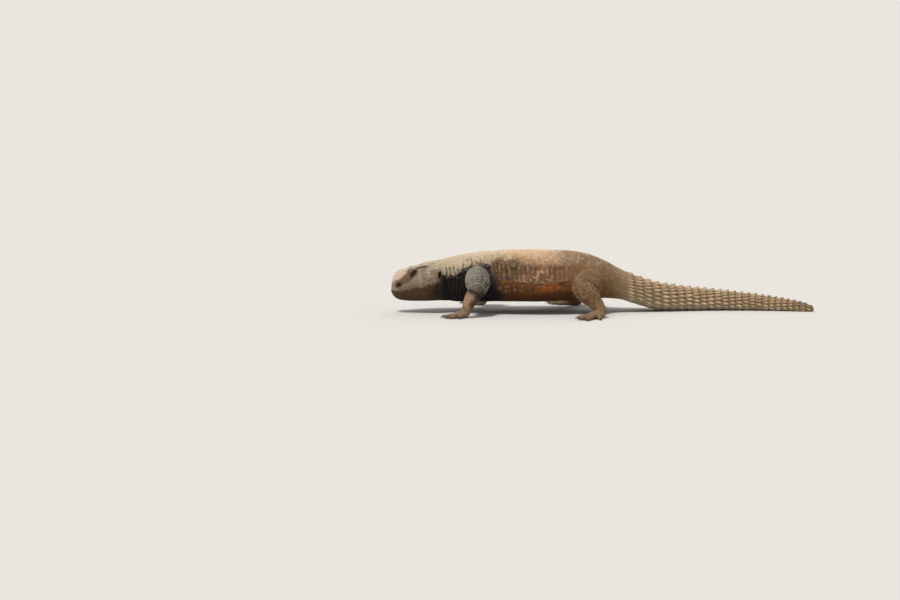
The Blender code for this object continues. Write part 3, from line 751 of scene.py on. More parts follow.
# Colours as linear light: the head
CROWN = (0.53, 0.43, 0.315)
SNOUT_TOP = (0.72, 0.575, 0.46)
CHEEK = (0.29, 0.222, 0.15)
PALE_CHEEK = (0.40, 0.325, 0.235)
MASK = (0.15, 0.078, 0.034)
EYE_STREAK = (0.075, 0.038, 0.018)
PALE_DAPPLE = (0.5, 0.42, 0.31)
DARK_DAPPLE = (0.13, 0.092, 0.056)
CHEEK_SPOT = (0.11, 0.075, 0.045)
# Painted shade in the crease over the brow and temple
CREASE_SHADE = (0.05, 0.034, 0.019)
LIP = (0.165, 0.115, 0.08)
JAW = (0.095, 0.047, 0.022)
CHIN = (0.06, 0.028, 0.012)
JAW_FLECK = (0.15, 0.088, 0.055)
MOUTH_END = (0.42, 0.315, 0.245)
BEHIND_JAW = (0.055, 0.038, 0.027)
# Painted shade inside the ear and nostril openings
EAR_SHADE = (0.02, 0.014, 0.01)
# Painted shade in the sunk socket and round the lids' opening
SHADE_ROUND_LIDS = (0.03, 0.018, 0.011)
NOSTRIL_RIM = (0.06, 0.032, 0.014)
NOSTRIL_SHADE = (0.012, 0.008, 0.006)
# The neck, body and tail
CREAM = np.array([0.61, 0.495, 0.345])
SALMON = (0.75, 0.455, 0.285)
# Painted highlight along the top of the back, standing for light from above
RIDGE_HIGHLIGHT = (0.88, 0.7, 0.52)
REAR_BACK = np.array([0.31, 0.19, 0.095])
VERMICULE = (0.085, 0.05, 0.027)
# Painted shade in the gaps between the nape's folds
NAPE_GAP_SHADE = (0.085, 0.063, 0.032)
NEAR_BLACK = (0.012, 0.009, 0.0075)
THROAT_GREY = (0.045, 0.036, 0.034)
LILAC = (0.105, 0.08, 0.088)
PALE_BAR = (0.44, 0.28, 0.15)
UMBER = (0.15, 0.08, 0.034)
RUST = (0.29, 0.115, 0.048)
DARK_PATCH = (0.035, 0.022, 0.012)
CREAM_LINE = (0.42, 0.31, 0.17)
ORANGE = (0.255, 0.1, 0.022)
BRIGHT_ORANGE = (0.43, 0.115, 0.007)
RED_BROWN = (0.085, 0.025, 0.007)
SPOT_RING = (0.055, 0.026, 0.014)
SPOT_MIDDLE = (0.27, 0.13, 0.08)
# Painted shade under the flank, where it turns under towards the belly
SHADED_UNDER_FLANK = (0.022, 0.010, 0.006)
BELLY = (0.14, 0.07, 0.038)
OCHRE = np.array([0.28, 0.165, 0.07])
TAIL_SAND = (0.36, 0.25, 0.145)
TAIL_PALE = (0.47, 0.355, 0.215)
TAIL_END = (0.17, 0.105, 0.06)
TAIL_BELOW = (0.46, 0.37, 0.25)
# The limbs
SLATE = (0.165, 0.146, 0.118)
# Painted light on the top of the upper arm
LIT_SLATE_TOP = (0.30, 0.275, 0.215)
# Painted shade on the rear of the upper arm and forearm
SHADE_BEHIND_ARM = (0.055, 0.045, 0.034)
FOREARM = (0.46, 0.29, 0.18)
FOREARM_PATCH = (0.42, 0.27, 0.165)
SHADE_BEHIND_FOREARM = (0.045, 0.03, 0.022)
ELBOW = (0.024, 0.014, 0.01)
HAND = (0.28, 0.185, 0.11)
# Single scales, eyes, claws, dust that also stands as painted light from above, and painted shade between
# scales
PALE_DOT = (0.62, 0.595, 0.51)
PALE_TUBERCLE = (0.62, 0.53, 0.39)
EYE_BROWN = (0.016, 0.009, 0.006)
IRIS = (0.1, 0.05, 0.022)
PUPIL = (0.003, 0.002, 0.002)
EYE_EDGE = (0.02, 0.013, 0.01)
CLAW_ROOT = (0.16, 0.11, 0.07)
CLAW_TIP = (0.035, 0.024, 0.018)
# Pale dust on what faces up, which also stands as painted light from above
DUST_AND_TOP_LIGHT = (0.46, 0.35, 0.225, 1)
# Painted shade: the skin between the scales is darkened to this share of its marking
SHADE_BETWEEN_SCALES = 0.6

# Heights at distances behind the snout: the cheek's upper edge, the mask's middle, the crown's crease
CHEEK_TOP = (
    (0, 33), (3, 35.5), (10, 39.5), (15, 43), (20, 46.2), (26, 48.6), (33, 47.5), (40, 46.5), (50, 46.5),
    (58, 46),
)
MASK_LINE = ((4, 31.0), (8, 33.4), (14, 37.4), (20, 41.3))
CREASE_LINE = ((18, 48.2), (24, 49.0), (32, 50.6), (42, 51.6))
# The lower edge of the pale nape and back, and how deep its lobes hang
BACK_EDGE = (
    (40, 54), (50, 50), (55, 44), (61, 39.5), (66, 43), (72, 42), (76, 46), (80, 50.5), (89, 53.5),
    (100, 54), (110, 56.5), (118, 60), (140, 61), (155, 59), (170, 57), (200, 55), (250, 44), (300, 20),
)
LOBE_DEPTH = ((44, 1.5), (56, 3.4), (84, 2.6), (110, 2.0), (220, 2.0))
LINE_STRENGTH = ((60, 0.06), (110, 0.14), (140, 0.18), (175, 0.26), (205, 0.5))


def painted(colour, *layers):
    """A colour with others laid over it in turn, each layer a colour and its share at each point."""
    for other, share in layers:
        share = np.asarray(share, float)[:, None]
        colour = np.asarray(colour, float) * (1 - share) + np.asarray(other, float) * share
    return colour


def vermicules(points, size, seed, width=0.16):
    """Thin winding dark lines: 1 on a line and 0 between them."""
    return fall(np.abs(clouds(points, size, seed)), width * 0.4, width)


def mask_share(s, height, blotch, fine):
    """The brown mask: a stripe from the nostril up to the eye, and a ragged patch round the eye."""
    line = along_table(s, MASK_LINE)
    ragged = height + 0.8 * fine + 0.9 * blotch
    stripe = window(ragged, line - 6.2, line + 6.2, 4.0) * window(s, 2.0, 22, 3)
    behind_eye = 20.9 + (height - 37.6) / 1.56
    around_eye = fall(np.hypot((s - 20.6) / 6.4, (ragged - 43.5) / 6.2), 0.72, 1.12)
    around_eye = around_eye * fall(s + 0.6 * fine, behind_eye - 0.9, behind_eye + 0.9)
    return np.maximum(stripe, around_eye)


def face_colours(points, s, sideways, height, blotch, fine):
    """The pale crown and snout, the mask, and the mottled cheek."""
    on_side = ramp(np.abs(sideways), 4, 8)
    side_top = along_table(s, CHEEK_TOP)
    cheek = fall(height + 1.6 * blotch, side_top - 2.2, side_top + 1.8)
    mottled = patches(points, 5, 34, -0.2, 0.5) * ramp(s, 31, 36) * ramp(height, 33, 41)
    behind_mask = window(s + 0.8 * fine, 26.2, 31.6, 1.6) * window(height, 27, 49, 4) * on_side
    streak = bell(height - 40.2 - 1.1 * (s - 19.8), 0, 2.0) * window(s, 17.4, 22.6, 1.8) * on_side
    dapple = clouds(points, 2.8, 38)
    beside = window(s, 30, 50, 3) * window(height, 34, 51, 3) * on_side
    spots = window(s, 31, 45, 3) * window(height, 30, 39, 3) * patches(points, 3.2, 37, -0.1, 0.4)
    crease_shade = bell(height, along_table(s, CREASE_LINE), 1.5) * window(s, 19, 42, 5)
    lip = window(mouth_gap(s, height), 0.2, 4.6, 1.6) * (0.8 + 0.2 * blotch) * ramp(s, 3, 9) * (s < 34)
    return painted(
        CROWN,
        (SNOUT_TOP, fall(s + 3 * blotch, 9, 20) * 0.85),
        (CREAM * 0.88, ramp(s + 4 * blotch, 26, 44) * ramp(height, 43, 48) * 0.8),
        (VERMICULE, vermicules(points, 6, 32) * ramp(height, 44, 49) * 0.3),
        (CHEEK, cheek * 0.95),
        (PALE_CHEEK, cheek * mottled * 0.7),
        (MASK, mask_share(s, height, blotch, fine) * on_side * (0.86 + 0.16 * blotch)),
        (PALE_CHEEK, behind_mask * 0.8),
        (EYE_STREAK, streak * 0.85),
        (PALE_DAPPLE, ramp(dapple, 0.05, 0.4) * beside * 0.6),
        (DARK_DAPPLE, ramp(-dapple, 0.1, 0.45) * beside * 0.6),
        (CHEEK_SPOT, spots * on_side * 0.65),
        # Painted shade along the crease over the brow and temple
        (CREASE_SHADE, crease_shade * (0.65 + 0.35 * window(s, 24, 38, 3)) * ramp(np.abs(sideways), 7.5, 11)),
        (LIP, lip),
    )


def head_colours(points, s, sideways, height):
    """The face, the dark jaw under it, the rims of its openings and painted shade in their hollows."""
    blotch = clouds(points, 5, 31)
    fine = noise(points, 2.2, 36)
    middle = outline(s)[2]
    jaw_top = np.where(s < 34, middle - 0.2, middle - 0.2 + (s - 34) * 0.1) + 0.9 * fine
    soft = np.interp(s, (30, 40), (0.6, 2.2))
    jaw = painted(
        JAW,
        (NEAR_BLACK, ramp(s + 3 * blotch, 32, 55)),
        (CHIN, fall(height, 14, 21) * 0.7),
        (JAW_FLECK, patches(points, 3.2, 33, 0, 1) * fall(s, 26, 46) * 0.8),
    )
    face = face_colours(points, s, sideways, height, blotch, fine)
    colour = painted(face, (jaw, fall(height, jaw_top - soft, jaw_top + soft)))
    colour = colour * (1 + np.interp(s, (12, 28), (0.12, 0.26)) * clouds(points, 3.4, 35))[:, None]
    corner = bell(np.hypot((s - 29.6) / 2.1, (height - 30.3) / 1.5), 0, 1.0)
    opening = np.minimum(eye_opening(points, -1), eye_opening(points, 1))
    nostril = nostril_edge(s, sideways, height)
    return painted(
        colour,
        (MOUTH_END, corner * ramp(np.abs(sideways), 4, 8) * 0.9),
        (BEHIND_JAW, ramp(s + fine, 47, 52) * fall(height, 43, 50) * 0.85),
        # Painted shade inside the ear opening
        (EAR_SHADE, fall(ear_edge(s, sideways, height), 0.8, 1.3)),
        # Painted shade round and inside the lids' opening
        (SHADE_ROUND_LIDS, fall(opening, 1.1, 1.6) * 0.75),
        (NOSTRIL_RIM, fall(nostril, 1.4, 3.0) * 0.85),
        # Painted shade inside the nostril
        (NOSTRIL_SHADE, fall(nostril, 0.7, 1.5)),
    )


def upright(points, squeeze=0.1):
    """Points with their heights squeezed, so that noise on them changes little from top to bottom."""
    return points * (1, 1, squeeze)


def back_edge(points, s):
    """The height of the ragged lower edge of the pale nape and back."""
    ragged = along_table(s, LOBE_DEPTH) * noise(upright(points, 0.2), 5.2, 41)
    return along_table(s, BACK_EDGE) + ragged + 1.9 * noise(points, 2.6, 42)


def nape_gaps(points, s, sideways, height):
    """1 in the dark upright gaps between the folds of the nape's hanging edge."""
    above = height - back_edge(points, s)
    slits = ramp(np.sin(2 * math.pi * (s + 2.4 * noise(points, 7, 70)) / 4.8), 0.0, 0.6)
    slits = slits * ramp(noise(upright(points, 0.4), 4.4, 74), -0.75, -0.15)
    reach = np.interp(s, (84, 98), (10.5, 6.0)) + 5.5 * noise(upright(points), 4.0, 72)
    slits = slits * fall(above, reach - 3, reach + 1) * window(s, 50, 126, 8)
    return slits * ramp(np.abs(sideways), 10, 17)


def flank_bars(points, s, height):
    """Above 0 on the pale upright bars of the flank, and below it in the gaps between them."""
    bow = 0.01 * (height - 47) ** 2 * np.where(noise(upright(points), 17, 52) > 0, 1, -1)
    bars = np.sin(2 * math.pi * (s + bow + 2.6 * noise(points, 11, 51)) / 5.0)
    return bars + 0.4 * clouds(points, 3.0, 53) - 0.35


def side_line(points, s):
    """The height of the thin cream line along the flank."""
    return 38.0 + 1.3 * np.sin(s / 15.0) + 1.4 * noise(upright(points), 9, 55)


def below_line(points, s, height, wander):
    """Deep orange with ringed spots under the cream line, darkened towards the belly as painted shade."""
    deep = painted(
        ORANGE,
        (RED_BROWN, patches(points, (9, 9, 5), 56, -0.3, 0.5) * 0.75),
        (BRIGHT_ORANGE, bell(s + 3 * wander, 171, 8.5) * bell(height, 30.5, 3.8) * 0.95),
    )
    ragged = 0.34 * noise(points, 2.2, 57)
    for turn in range(9):
        at, up = 122 + 7.6 * turn, 30.5 + 1.9 * math.sin(turn * 2.4)
        ring = np.hypot((s - at) / 3.3, (height - up) / 3.1) + ragged
        fade = 0.9 if turn < 3 else 0.25
        deep = painted(
            deep,
            (SPOT_RING, bell(ring, 1, 0.45) * fade),
            (SPOT_MIDDLE, fall(ring, 0.3, 0.8) * 0.8 * fade),
        )
    return painted(
        deep,
        # Painted shade: red-brown, then near black, towards the belly where the flank turns under
        (RED_BROWN, fall(height + 2.4 * wander, 20, 28) * 0.9),
        (SHADED_UNDER_FLANK, fall(height + 1.5 * wander, 14, 20) * 0.8),
        (OCHRE * 0.8, ramp(s + 5 * wander, 190, 212)),
    )


def flank_colours(points, s, height):
    """Pale bars, brown netting and dark gaps above a cream line, deep orange below it."""
    wander = noise(points, 14, 58)
    strength = patches(points, 8, 59, -0.7, 0.4) * (1 - 0.75 * ramp(s + 6 * wander, 168, 200))
    gap_colour = painted(UMBER, (RUST, ramp(s + 8 * wander, 140, 164) * 0.9))
    dark = patches(points, 4.2, 49, 0.05, 0.45) * window(s + 4 * wander, 112, 142, 8)
    low = side_line(points, s)
    broken = ramp(noise(points, 4, 60), -0.35, 0.45) * window(s, 114, 200, 14)
    return painted(
        gap_colour,
        (PALE_BAR, ramp(flank_bars(points, s, height), -0.4, 0.7) * (0.2 + 0.8 * strength)),
        (SALMON, patches(points, 6, 50, 0.1, 0.8) * window(s, 142, 190, 14) * 0.55),
        (VERMICULE, vermicules(points, (3.2, 3.2, 4.4), 54, 0.24) * 0.75),
        (DARK_PATCH, dark * 0.75),
        (OCHRE, ramp(s + 14 * wander, 166, 208) * 0.75),
        (below_line(points, s, height, wander), fall(height, low - 1.4, low - 0.2)),
        (CREAM_LINE, bell(height, low + 0.6, 1.05) * broken * 0.58),
    )


def back_colours(points, s, sideways, height, edge, fine):
    """Cream at the nape, salmon in the middle and brown at the rear, with dark lines, pale spots and a
    painted highlight along the ridge.
    """
    patch = clouds(points, 12, 61)
    ocelli = patches(points, 5.4, 63, 0.22, 0.5) * window(s, 112, 240, 28)
    shade = fall(height, edge - 1, edge + 7) * patches(points, 3.5, 75, -0.4, 0.4)
    ridge_highlight = fall(np.abs(sideways) + 4 * patch, 10, 27)
    return painted(
        CREAM,
        (SALMON, window(s + 18 * patch + 6 * fine, 108, 210, 42) * 0.88),
        (REAR_BACK, ramp(s + 16 * patch + 6 * fine, 164, 204) * 0.92),
        (VERMICULE, vermicules(points, 5.0, 62, 0.22) * along_table(s, LINE_STRENGTH)),
        (CREAM * 0.98, ocelli * 0.5),
        # Painted shade in the upright gaps between the nape's folds
        (NAPE_GAP_SHADE, nape_gaps(points, s, sideways, height) * 0.85),
        (REAR_BACK * 0.9, shade * ramp(s, 92, 120) * 0.7),
        # Painted highlight: the back's ridge made paler as if lit from above
        (RIDGE_HIGHLIGHT, ridge_highlight * window(s, 56, 206, 30) * 0.26),
    )


def dark_front(points, s, height):
    """The near-black throat and shoulder, with pale flecks and a lilac tinge behind the arm."""
    flecks = patches(points, 2.6, 66, 0.62, 0.8) * window(height, 26, 46, 6) * window(s, 52, 76, 5)
    lilac = window(s, 106, 130, 7) * window(height, 34, 58, 6)
    return painted(
        NEAR_BLACK,
        (THROAT_GREY, patches(points, 2.4, 65, 0, 1) * 0.4),
        (CREAM, flecks * 0.7),
        (LILAC, lilac * (0.6 + 0.5 * clouds(points, 3, 68))),
    )


def torso_colours(points, s, sideways, height):
    """The pale back over the dark front, the barred flank and the brown belly."""
    fine = noise(points, 2.3, 73)
    edge = back_edge(points, s)
    mottle = painted(
        REAR_BACK,
        (VERMICULE, vermicules(points, 4.0, 64, 0.3) * 0.7),
        (SALMON, window(s, 136, 196, 16) * 0.6),
    )
    flank = painted(flank_colours(points, s, height), (mottle, 0.7 * ramp(height, 52, 60)))
    limit = 118 + 0.35 * (40 - height) + 6 * noise(points, 10, 67)
    lower = painted(dark_front(points, s, height), (flank, ramp(s, limit - 5, limit + 4)))
    soft = np.interp(s, (108, 130), (0.5, 3.2))
    under = np.abs(sideways) < outline(s)[0] * 0.72
    belly = painted(BELLY, (VERMICULE, vermicules(points, 8, 69, 0.3) * 0.6))
    return painted(
        back_colours(points, s, sideways, height, edge, fine),
        (lower, fall(height + 0.6 * soft * fine, edge - soft, edge + soft)),
        (belly, fall(height, 13.5, 17) * under * ramp(s, 108, 128)),
    )


def tail_colours(points, s, sideways, height):
    middle = outline(s)[2]
    return painted(
        TAIL_SAND,
        (REAR_BACK, patches(points, 7, 71, 0.0, 0.6) * 0.5),
        (TAIL_END, ramp(s, 400, 469) * 0.45),
        (TAIL_BELOW, fall(height, middle - 4, middle) * 0.6),
    )


def limb_colours(points):
    """Slate upper arms, tan forearms with a dark elbow, and hind legs netted with brown; painted light on
    top of the arm and painted shade behind.
    """
    number, along, _, front = limb_place(points)
    height = points[:, 2]
    blotch = clouds(points, 4, 81)
    # The rear side of each fore limb, where painted shade goes
    behind = fall(front + 0.3 * blotch, -0.5, 0.3)
    upper = painted(
        SLATE,
        # Painted light: the top of the upper arm paler
        (LIT_SLATE_TOP, ramp(height + 3 * blotch, 34, 49) * 0.75),
        # Painted shade on the rear of the upper arm
        (SHADE_BEHIND_ARM, behind * 0.5),
        (NEAR_BLACK, fall(along + 0.15 * blotch, 0.0, 0.3) * 0.85),
    )
    lower = painted(
        FOREARM,
        (FOREARM_PATCH, np.clip(clouds(points, 2.6, 82), 0, 1) * 0.6),
        (ELBOW, fall(along + 0.08 * blotch, 1.18, 1.5) * 0.95),
        (HAND, ramp(along, 1.75, 2.1)),
        # Painted shade on the rear of the forearm
        (SHADE_BEHIND_FOREARM, behind * fall(along, 1.7, 2.0) * 0.85),
    )
    fore = painted(upper, (lower, ramp(along + 0.05 * blotch - 0.014 * (height - 29), 0.95, 1.1)))
    hind = painted(
        OCHRE,
        (REAR_BACK, ramp(blotch, -0.2, 0.5) * 0.7),
        (VERMICULE, vermicules(points, 4.5, 83, 0.26) * 0.65 * fall(along, 1.7, 2.2)),
        (HAND, ramp(along, 1.6, 2.1) * 0.8),
        (RED_BROWN, fall(height, 10, 22) * fall(along, 0.5, 0.9) * 0.5),
    )
    return np.where((number >= 2)[:, None], hind, fore)


def markings(points):
    """The colour of the skin at each point, by formulas."""
    where = body_place(points)
    s = where[0]
    colour = painted(
        torso_colours(points, *where),
        (head_colours(points, *where), fall(s + noise(points, 4, 91), 49, 57)),
        (tail_colours(points, *where), ramp(s, 236, 262)),
        (limb_colours(points), limb_share(points)),
    )
    return np.clip(colour * (1 + 0.1 * noise(points, 1.7, 92))[:, None], 0, 1)


def paint(mesh, colours):
    """Stores a colour for each point of the mesh."""
    attribute = mesh.color_attributes.new("marking", "FLOAT_COLOR", "POINT")
    values = np.ones((len(mesh.vertices), 4), np.float32)
    values[:, :3] = colours
    attribute.data.foreach_set("color", values.ravel())


def set_inputs(tree, made, values):
    """Sets a node's inputs, each to a value or to another node's output."""
    for name, value in values.items():
        if isinstance(value, bpy.types.NodeSocket):
            tree.links.new(value, made.inputs[name])
        else:
            made.inputs[name].default_value = value


def node(tree, kind, output, values=None, **settings):
    """Adds a shader node and gives the output with this name or number."""
    made = tree.nodes.new("ShaderNode" + kind)
    for name, value in settings.items():
        setattr(made, name, value)
    set_inputs(tree, made, values or {})
    return made.outputs[output]


def spread(tree, value, start, end, low, high):
    """Turns the range of a value from start to end into that from low to high."""
    values = {"Value": value, "From Min": start, "From Max": end, "To Min": low, "To Max": high}
    return node(tree, "MapRange", "Result", values)


def new_material(name):
    """A material with its node tree and its shader."""
    material = bpy.data.materials.new(name)
    material.use_nodes = True
    return material, material.node_tree, material.node_tree.nodes["Principled BSDF"]


def skin_material(name, roughness, bump, dust_and_top_light, grain):
    """The stored marking, with grain, pale dust on what faces up that also stands as painted light from
    above, and fine bumps.
    """
    material, tree, shader = new_material(name)
    spot = node(tree, "TexCoord", "Object")
    fine = node(tree, "TexNoise", "Fac", {"Vector": spot, "Scale": grain, "Detail": 4.0})
    broad = node(tree, "TexNoise", "Fac", {"Vector": spot, "Scale": 140.0, "Detail": 3.0})
    stored = node(tree, "Attribute", "Color", attribute_name="marking")
    worn = spread(tree, fine, 0.3, 0.7, 0.82, 1.14)
    tone = node(tree, "VectorMath", "Vector", {0: stored, "Scale": worn}, operation="SCALE")
    facing = node(tree, "NewGeometry", "Normal")
    # Paler towards what faces up: dust, and painted light from above
    upward = spread(tree, node(tree, "SeparateXYZ", "Z", {"Vector": facing}), 0.5, 1.0, 0.0, dust_and_top_light)
    top_dust_and_light = node(tree, "Math", "Value", {0: upward, 1: broad}, operation="MULTIPLY")
    dusted_and_top_lit = node(tree, "Mix", 2, {0: top_dust_and_light, 6: tone, 7: DUST_AND_TOP_LIGHT}, data_type="RGBA")
    rough = spread(tree, broad, 0.3, 0.7, roughness - 0.08, roughness + 0.1)
    raised = node(tree, "Bump", "Normal", {"Height": fine, "Strength": bump, "Distance": 0.00025})
    set_inputs(tree, shader, {"Base Color": dusted_and_top_lit, "Roughness": rough, "Normal": raised})
    set_inputs(tree, shader, {"Specular IOR Level": 0.2})
    return material


def plain_gloss(name, roughness, specular):
    """The stored marking under a smooth gloss."""
    material, tree, shader = new_material(name)
    stored = node(tree, "Attribute", "Color", attribute_name="marking")
    set_inputs(tree, shader, {"Base Color": stored, "Roughness": roughness, "Specular IOR Level": specular})
    return material


class Surface:
    """The finished skin, with quick ways to find places on it."""

    def __init__(self, mesh):
        mesh.calc_loop_triangles()
        self.corners = read(mesh.loop_triangles, "vertices", 3, np.int32)
        self.points = mesh_points(mesh)
        self.normals = mesh_normals(mesh)
        self.tree = BVHTree.FromPolygons(self.points.tolist(), self.corners.tolist())

    def nearest(self, points):
        """For each point its nearest place on the skin, the way outwards there, and how far off it is."""
        found = [self.tree.find_nearest(Vector(point)) for point in points.tolist()]
        places, faces, away = (np.array([hit[k] for hit in found]) for k in (0, 2, 3))
        return places, unit(self.normals[self.corners[faces]].mean(1)), away

    def scatter(self, count, seed, wanted):
        """Random places, as many on each part of the skin as wanted says for its area."""
        rng = np.random.default_rng(seed)
        one, two, three = (self.points[self.corners[:, k]] for k in range(3))
        area = np.linalg.norm(np.cross(two - one, three - one), axis=1) * wanted[self.corners].mean(1)
        chosen = rng.choice(len(area), count, p=area / area.sum())
        a, b = rng.random(count), rng.random(count)
        a, b = np.where(a + b > 1, 1 - a, a)[:, None], np.where(a + b > 1, 1 - b, b)[:, None]
        return one[chosen] + a * (two - one)[chosen] + b * (three - one)[chosen]


# How scales are set out: the step between rows in shares of the spacing, how far off the skin a row's places
# may lie, how many random places fill the gaps, and the least gap in shares of the spacing
ROW_STEP = 0.866
SEED_REACH = 3.2
RANDOM_PLACES = 150000
SAMPLES_PER_SCALE = 8
ROW_GAP = 0.7
RANDOM_GAP = 0.84
# How far apart the scales stand, at distances behind the snout and along a limb
BODY_SPACING = ((48, 1.25), (60, 1.05), (90, 1.15), (120, 1.36), (200, 1.4), (262, 1.5))
LIMB_SPACING = ((0, 1.35), (1, 1.4), (1.8, 1.3), (2.2, 1.15), (3, 1.1))


def scale_spacing(points):
    """How far apart the scales stand at each point."""
    where = s, _, height = body_place(points)
    belly = outline(s)[3]
    crown = height > np.interp(s, (0, 14, 60), (38, 44, 46))
    head = np.where(crown, np.interp(s, (34, 50), (1.75, 1.3)), np.interp(s, (40, 52), (1.4, 1.2)))
    head = np.where(eye_distance(points) < 7.6, 0.85, head)
    head = np.where(nostril_edge(*where) < 2.6, 0.95, head)
    head = np.where(ear_edge(*where) < 1.9, 0.8, head)
    head = np.where(np.abs(mouth_gap(s, height)) < 2.6, 1.15, head)
    body = along_table(s, BODY_SPACING)
    body = body * (1 + 0.35 * fall(height, belly + 3, belly + 9) * ramp(s, 90, 110))
    body = body * (1 - 0.1 * ramp(s, 90, 110) * window(height, 24, 54, 6))
    limb = along_table(limb_place(points)[1], LIMB_SPACING)
    share = limb_share(points)
    return np.where(s < 52, head, body) * (1 - share) + limb * share


def bare(points):
    """Where no scales grow: inside the eyes, nostrils, ears and the mouth's line."""
    where = s, _, height = body_place(points)
    inside = (nostril_edge(*where) < 1.3) | (ear_edge(*where) < 1.02)
    inside |= np.abs(mouth_gap(s, height)) < 0.42
    for side in SIDES:
        inside |= eye_opening(points, side) < 1.14
    return inside


def half_section(s, grow=0.0):
    """Angles from the back's ridge down one side, and how far apart they lie on the surface."""
    degrees = np.linspace(90, -90, 181)
    curve = section(np.full(181, s), degrees, 1, grow)
    return degrees, np.linalg.norm(np.diff(curve, axis=0), axis=1)


def side_rows(s, widths, odd):
    """Evenly spread places round the body at one distance behind the snout, from the back's ridge down."""
    degrees, steps = half_section(s)
    count = summed(steps / along_table((degrees[1:] + degrees[:-1]) / 2, widths))
    wanted = np.arange(0.5 if odd else 0.0, count[-1], 1.0)
    found = np.interp(wanted, count, degrees)
    left, right = (section(np.full(len(found), s), found, side) for side in SIDES)
    return np.concatenate([left, right[0 if odd else 1:]])


def body_seeds():
    """Rows of scales round the neck and body, each row set between the scales of the last."""
    rows = []
    s, odd = 50.0, False
    while s < 262:
        width = along_table(s, BODY_SPACING)
        belly = 1.35 if s > 100 else 1.0
        shares = ((-90, belly), (-55, belly), (-40, 0.95), (0, 0.9), (40, 1.0), (90, 1.0))
        rows.append(side_rows(s, [(degrees, width * share) for degrees, share in shares], odd))
        s += ROW_STEP * width
        odd = not odd
    return np.concatenate(rows)


def lip_seeds():
    """One row of scales along each lip, on both sides."""
    s = np.arange(1.6, MOUTH_CORNER, 1.5)
    rows = [section(s, np.full(len(s), angle), side) for side in SIDES for angle in (6.0, -10.0)]
    return np.concatenate(rows)


def turns(count, offset=0):
    """Even turns round a circle, in radians."""
    return (np.arange(count) + offset) * 2 * math.pi / count


def oval_ring(at, size, lean, edge, pitch):
    """Points round an oval on both sides of the head."""
    reach = np.array(size) * edge
    turn = turns(round(math.pi * reach.sum() / pitch))
    level, rise = reach[0] * np.cos(turn), reach[1] * np.sin(turn)
    s = at[0] + level * math.cos(lean) + rise * math.sin(lean)
    height = at[1] - level * math.sin(lean) + rise * math.cos(lean)
    wide = np.array([half_width_at(*pair) for pair in zip(s, height)])
    return np.concatenate([place(s, side * wide, height) for side in SIDES])


def lid_ring(side, edge, count):
    """Points round the lids' opening, where its measure has the given value."""
    turn = turns(count)
    radius = np.linspace(1, 12, 500)[:, None]
    along, up = radius * np.cos(turn), radius * np.sin(turn)
    first = np.argmax(almond(along, up) > edge, axis=0), np.arange(count)
    axes = eye_axes(side)
    out = axes[0] * (EYE_RADIUS + LID)
    return eye_centre(side) + out + along[first][:, None] * axes[1] + up[first][:, None] * axes[2]


def ring_seeds():
    """Rings of small scales round each eye's lids, each ear and each nostril."""
    rows = [oval_ring(*EAR, 1.2, 0.95), oval_ring(*NOSTRIL, 1.75, 1.25)]
    for side in SIDES:
        rows += [lid_ring(side, 1.32, 30), lid_ring(side, 1.95, 32), lid_ring(side, 2.8, 32)]
    return np.concatenate(rows)


def digit_seeds(key):
    """A row of broad scales over the top of each digit, and narrower rows down its sides."""
    rows = []
    for root, ray, length, radius in hand_frame(key)[3]:
        across = np.cross(UP, ray)
        distance = np.arange(0.0, length, 1.4)
        level = np.interp(distance / length, (0, 0.42, 1.0), (3.2, 2.8, 1.75))
        for turn, ahead in ((0, 0.0), (-66, 0.7), (66, 0.7), (-118, 0.0), (118, 0.0)):
            angle = math.radians(turn)
            out = (UP * math.cos(angle) + across * math.sin(angle)) * radius
            rows.append(root + ray * (distance + ahead)[:, None] + UP * level[:, None] + out)
    return np.concatenate(rows)


def limb_seeds(key):
    """Rows of scales round the upper and lower segment of a limb, and which of them are pale dots."""
    kind = key.split("_")[0]
    joints = limb_joints(key)
    rows, dots = [], []
    for k, size in enumerate(LIMB_RADII[kind]):
        axes = upright_axes(joints[k + 1] - joints[k])
        length = np.linalg.norm(joints[k + 1] - joints[k])
        for index, distance in enumerate(np.arange(0, length, 1.2)):
            radius = np.interp(distance, np.linspace(0, length, len(size)), size)
            count = round(2 * math.pi * radius / 1.38)
            across = circle(turns(count, 0.5 * (index % 2)), axes)
            rows.append(joints[k] + distance * axes[0] + radius * across)
            spotted = (index % 3 == 0) & (np.arange(count) % 2 == 0) & (k == 0) & (kind == "fore")
            dots.append(spotted & ~(chance(rows[-1], 3, 23) < 0.22))
    return np.concatenate(rows), np.concatenate(dots)


def apart(points, gaps, cell=2.6):
    """Keeps each point that is at least its own gap away from every point kept before it."""
    grid = {}
    kept = []
    around = [(i - 1, j - 1, k - 1) for i, j, k in np.ndindex(3, 3, 3)]
    cells = np.floor(points / cell).astype(int).tolist()
    rows = zip(cells, points.tolist(), (gaps**2).tolist())
    for index, ((a, b, c), (x, y, z), gap) in enumerate(rows):
        close = any(
            (px - x) ** 2 + (py - y) ** 2 + (pz - z) ** 2 < gap
            for i, j, k in around
            for px, py, pz in grid.get((a + i, b + j, c + k), ())
        )
        if not close:
            grid.setdefault((a, b, c), []).append((x, y, z))
            kept.append(index)
    return np.array(kept)


def search_tree(centres):
    tree = KDTree(len(centres))
    for index, centre in enumerate(centres.tolist()):
        tree.insert(centre, index)
    tree.balance()
    return tree


def centred(centres, samples):
    """The centres moved most of the way to the middle of the samples that are nearest to each."""
    tree = search_tree(centres)
    owner = np.array([tree.find(point)[1] for point in samples.tolist()])
    count = np.bincount(owner, minlength=len(centres))
    total = np.stack([np.bincount(owner, samples[:, k], len(centres)) for k in range(3)], 1)
    middle = np.where(count[:, None] > 3, total / np.maximum(count, 1)[:, None], centres)
    return centres + 0.7 * (middle - centres)


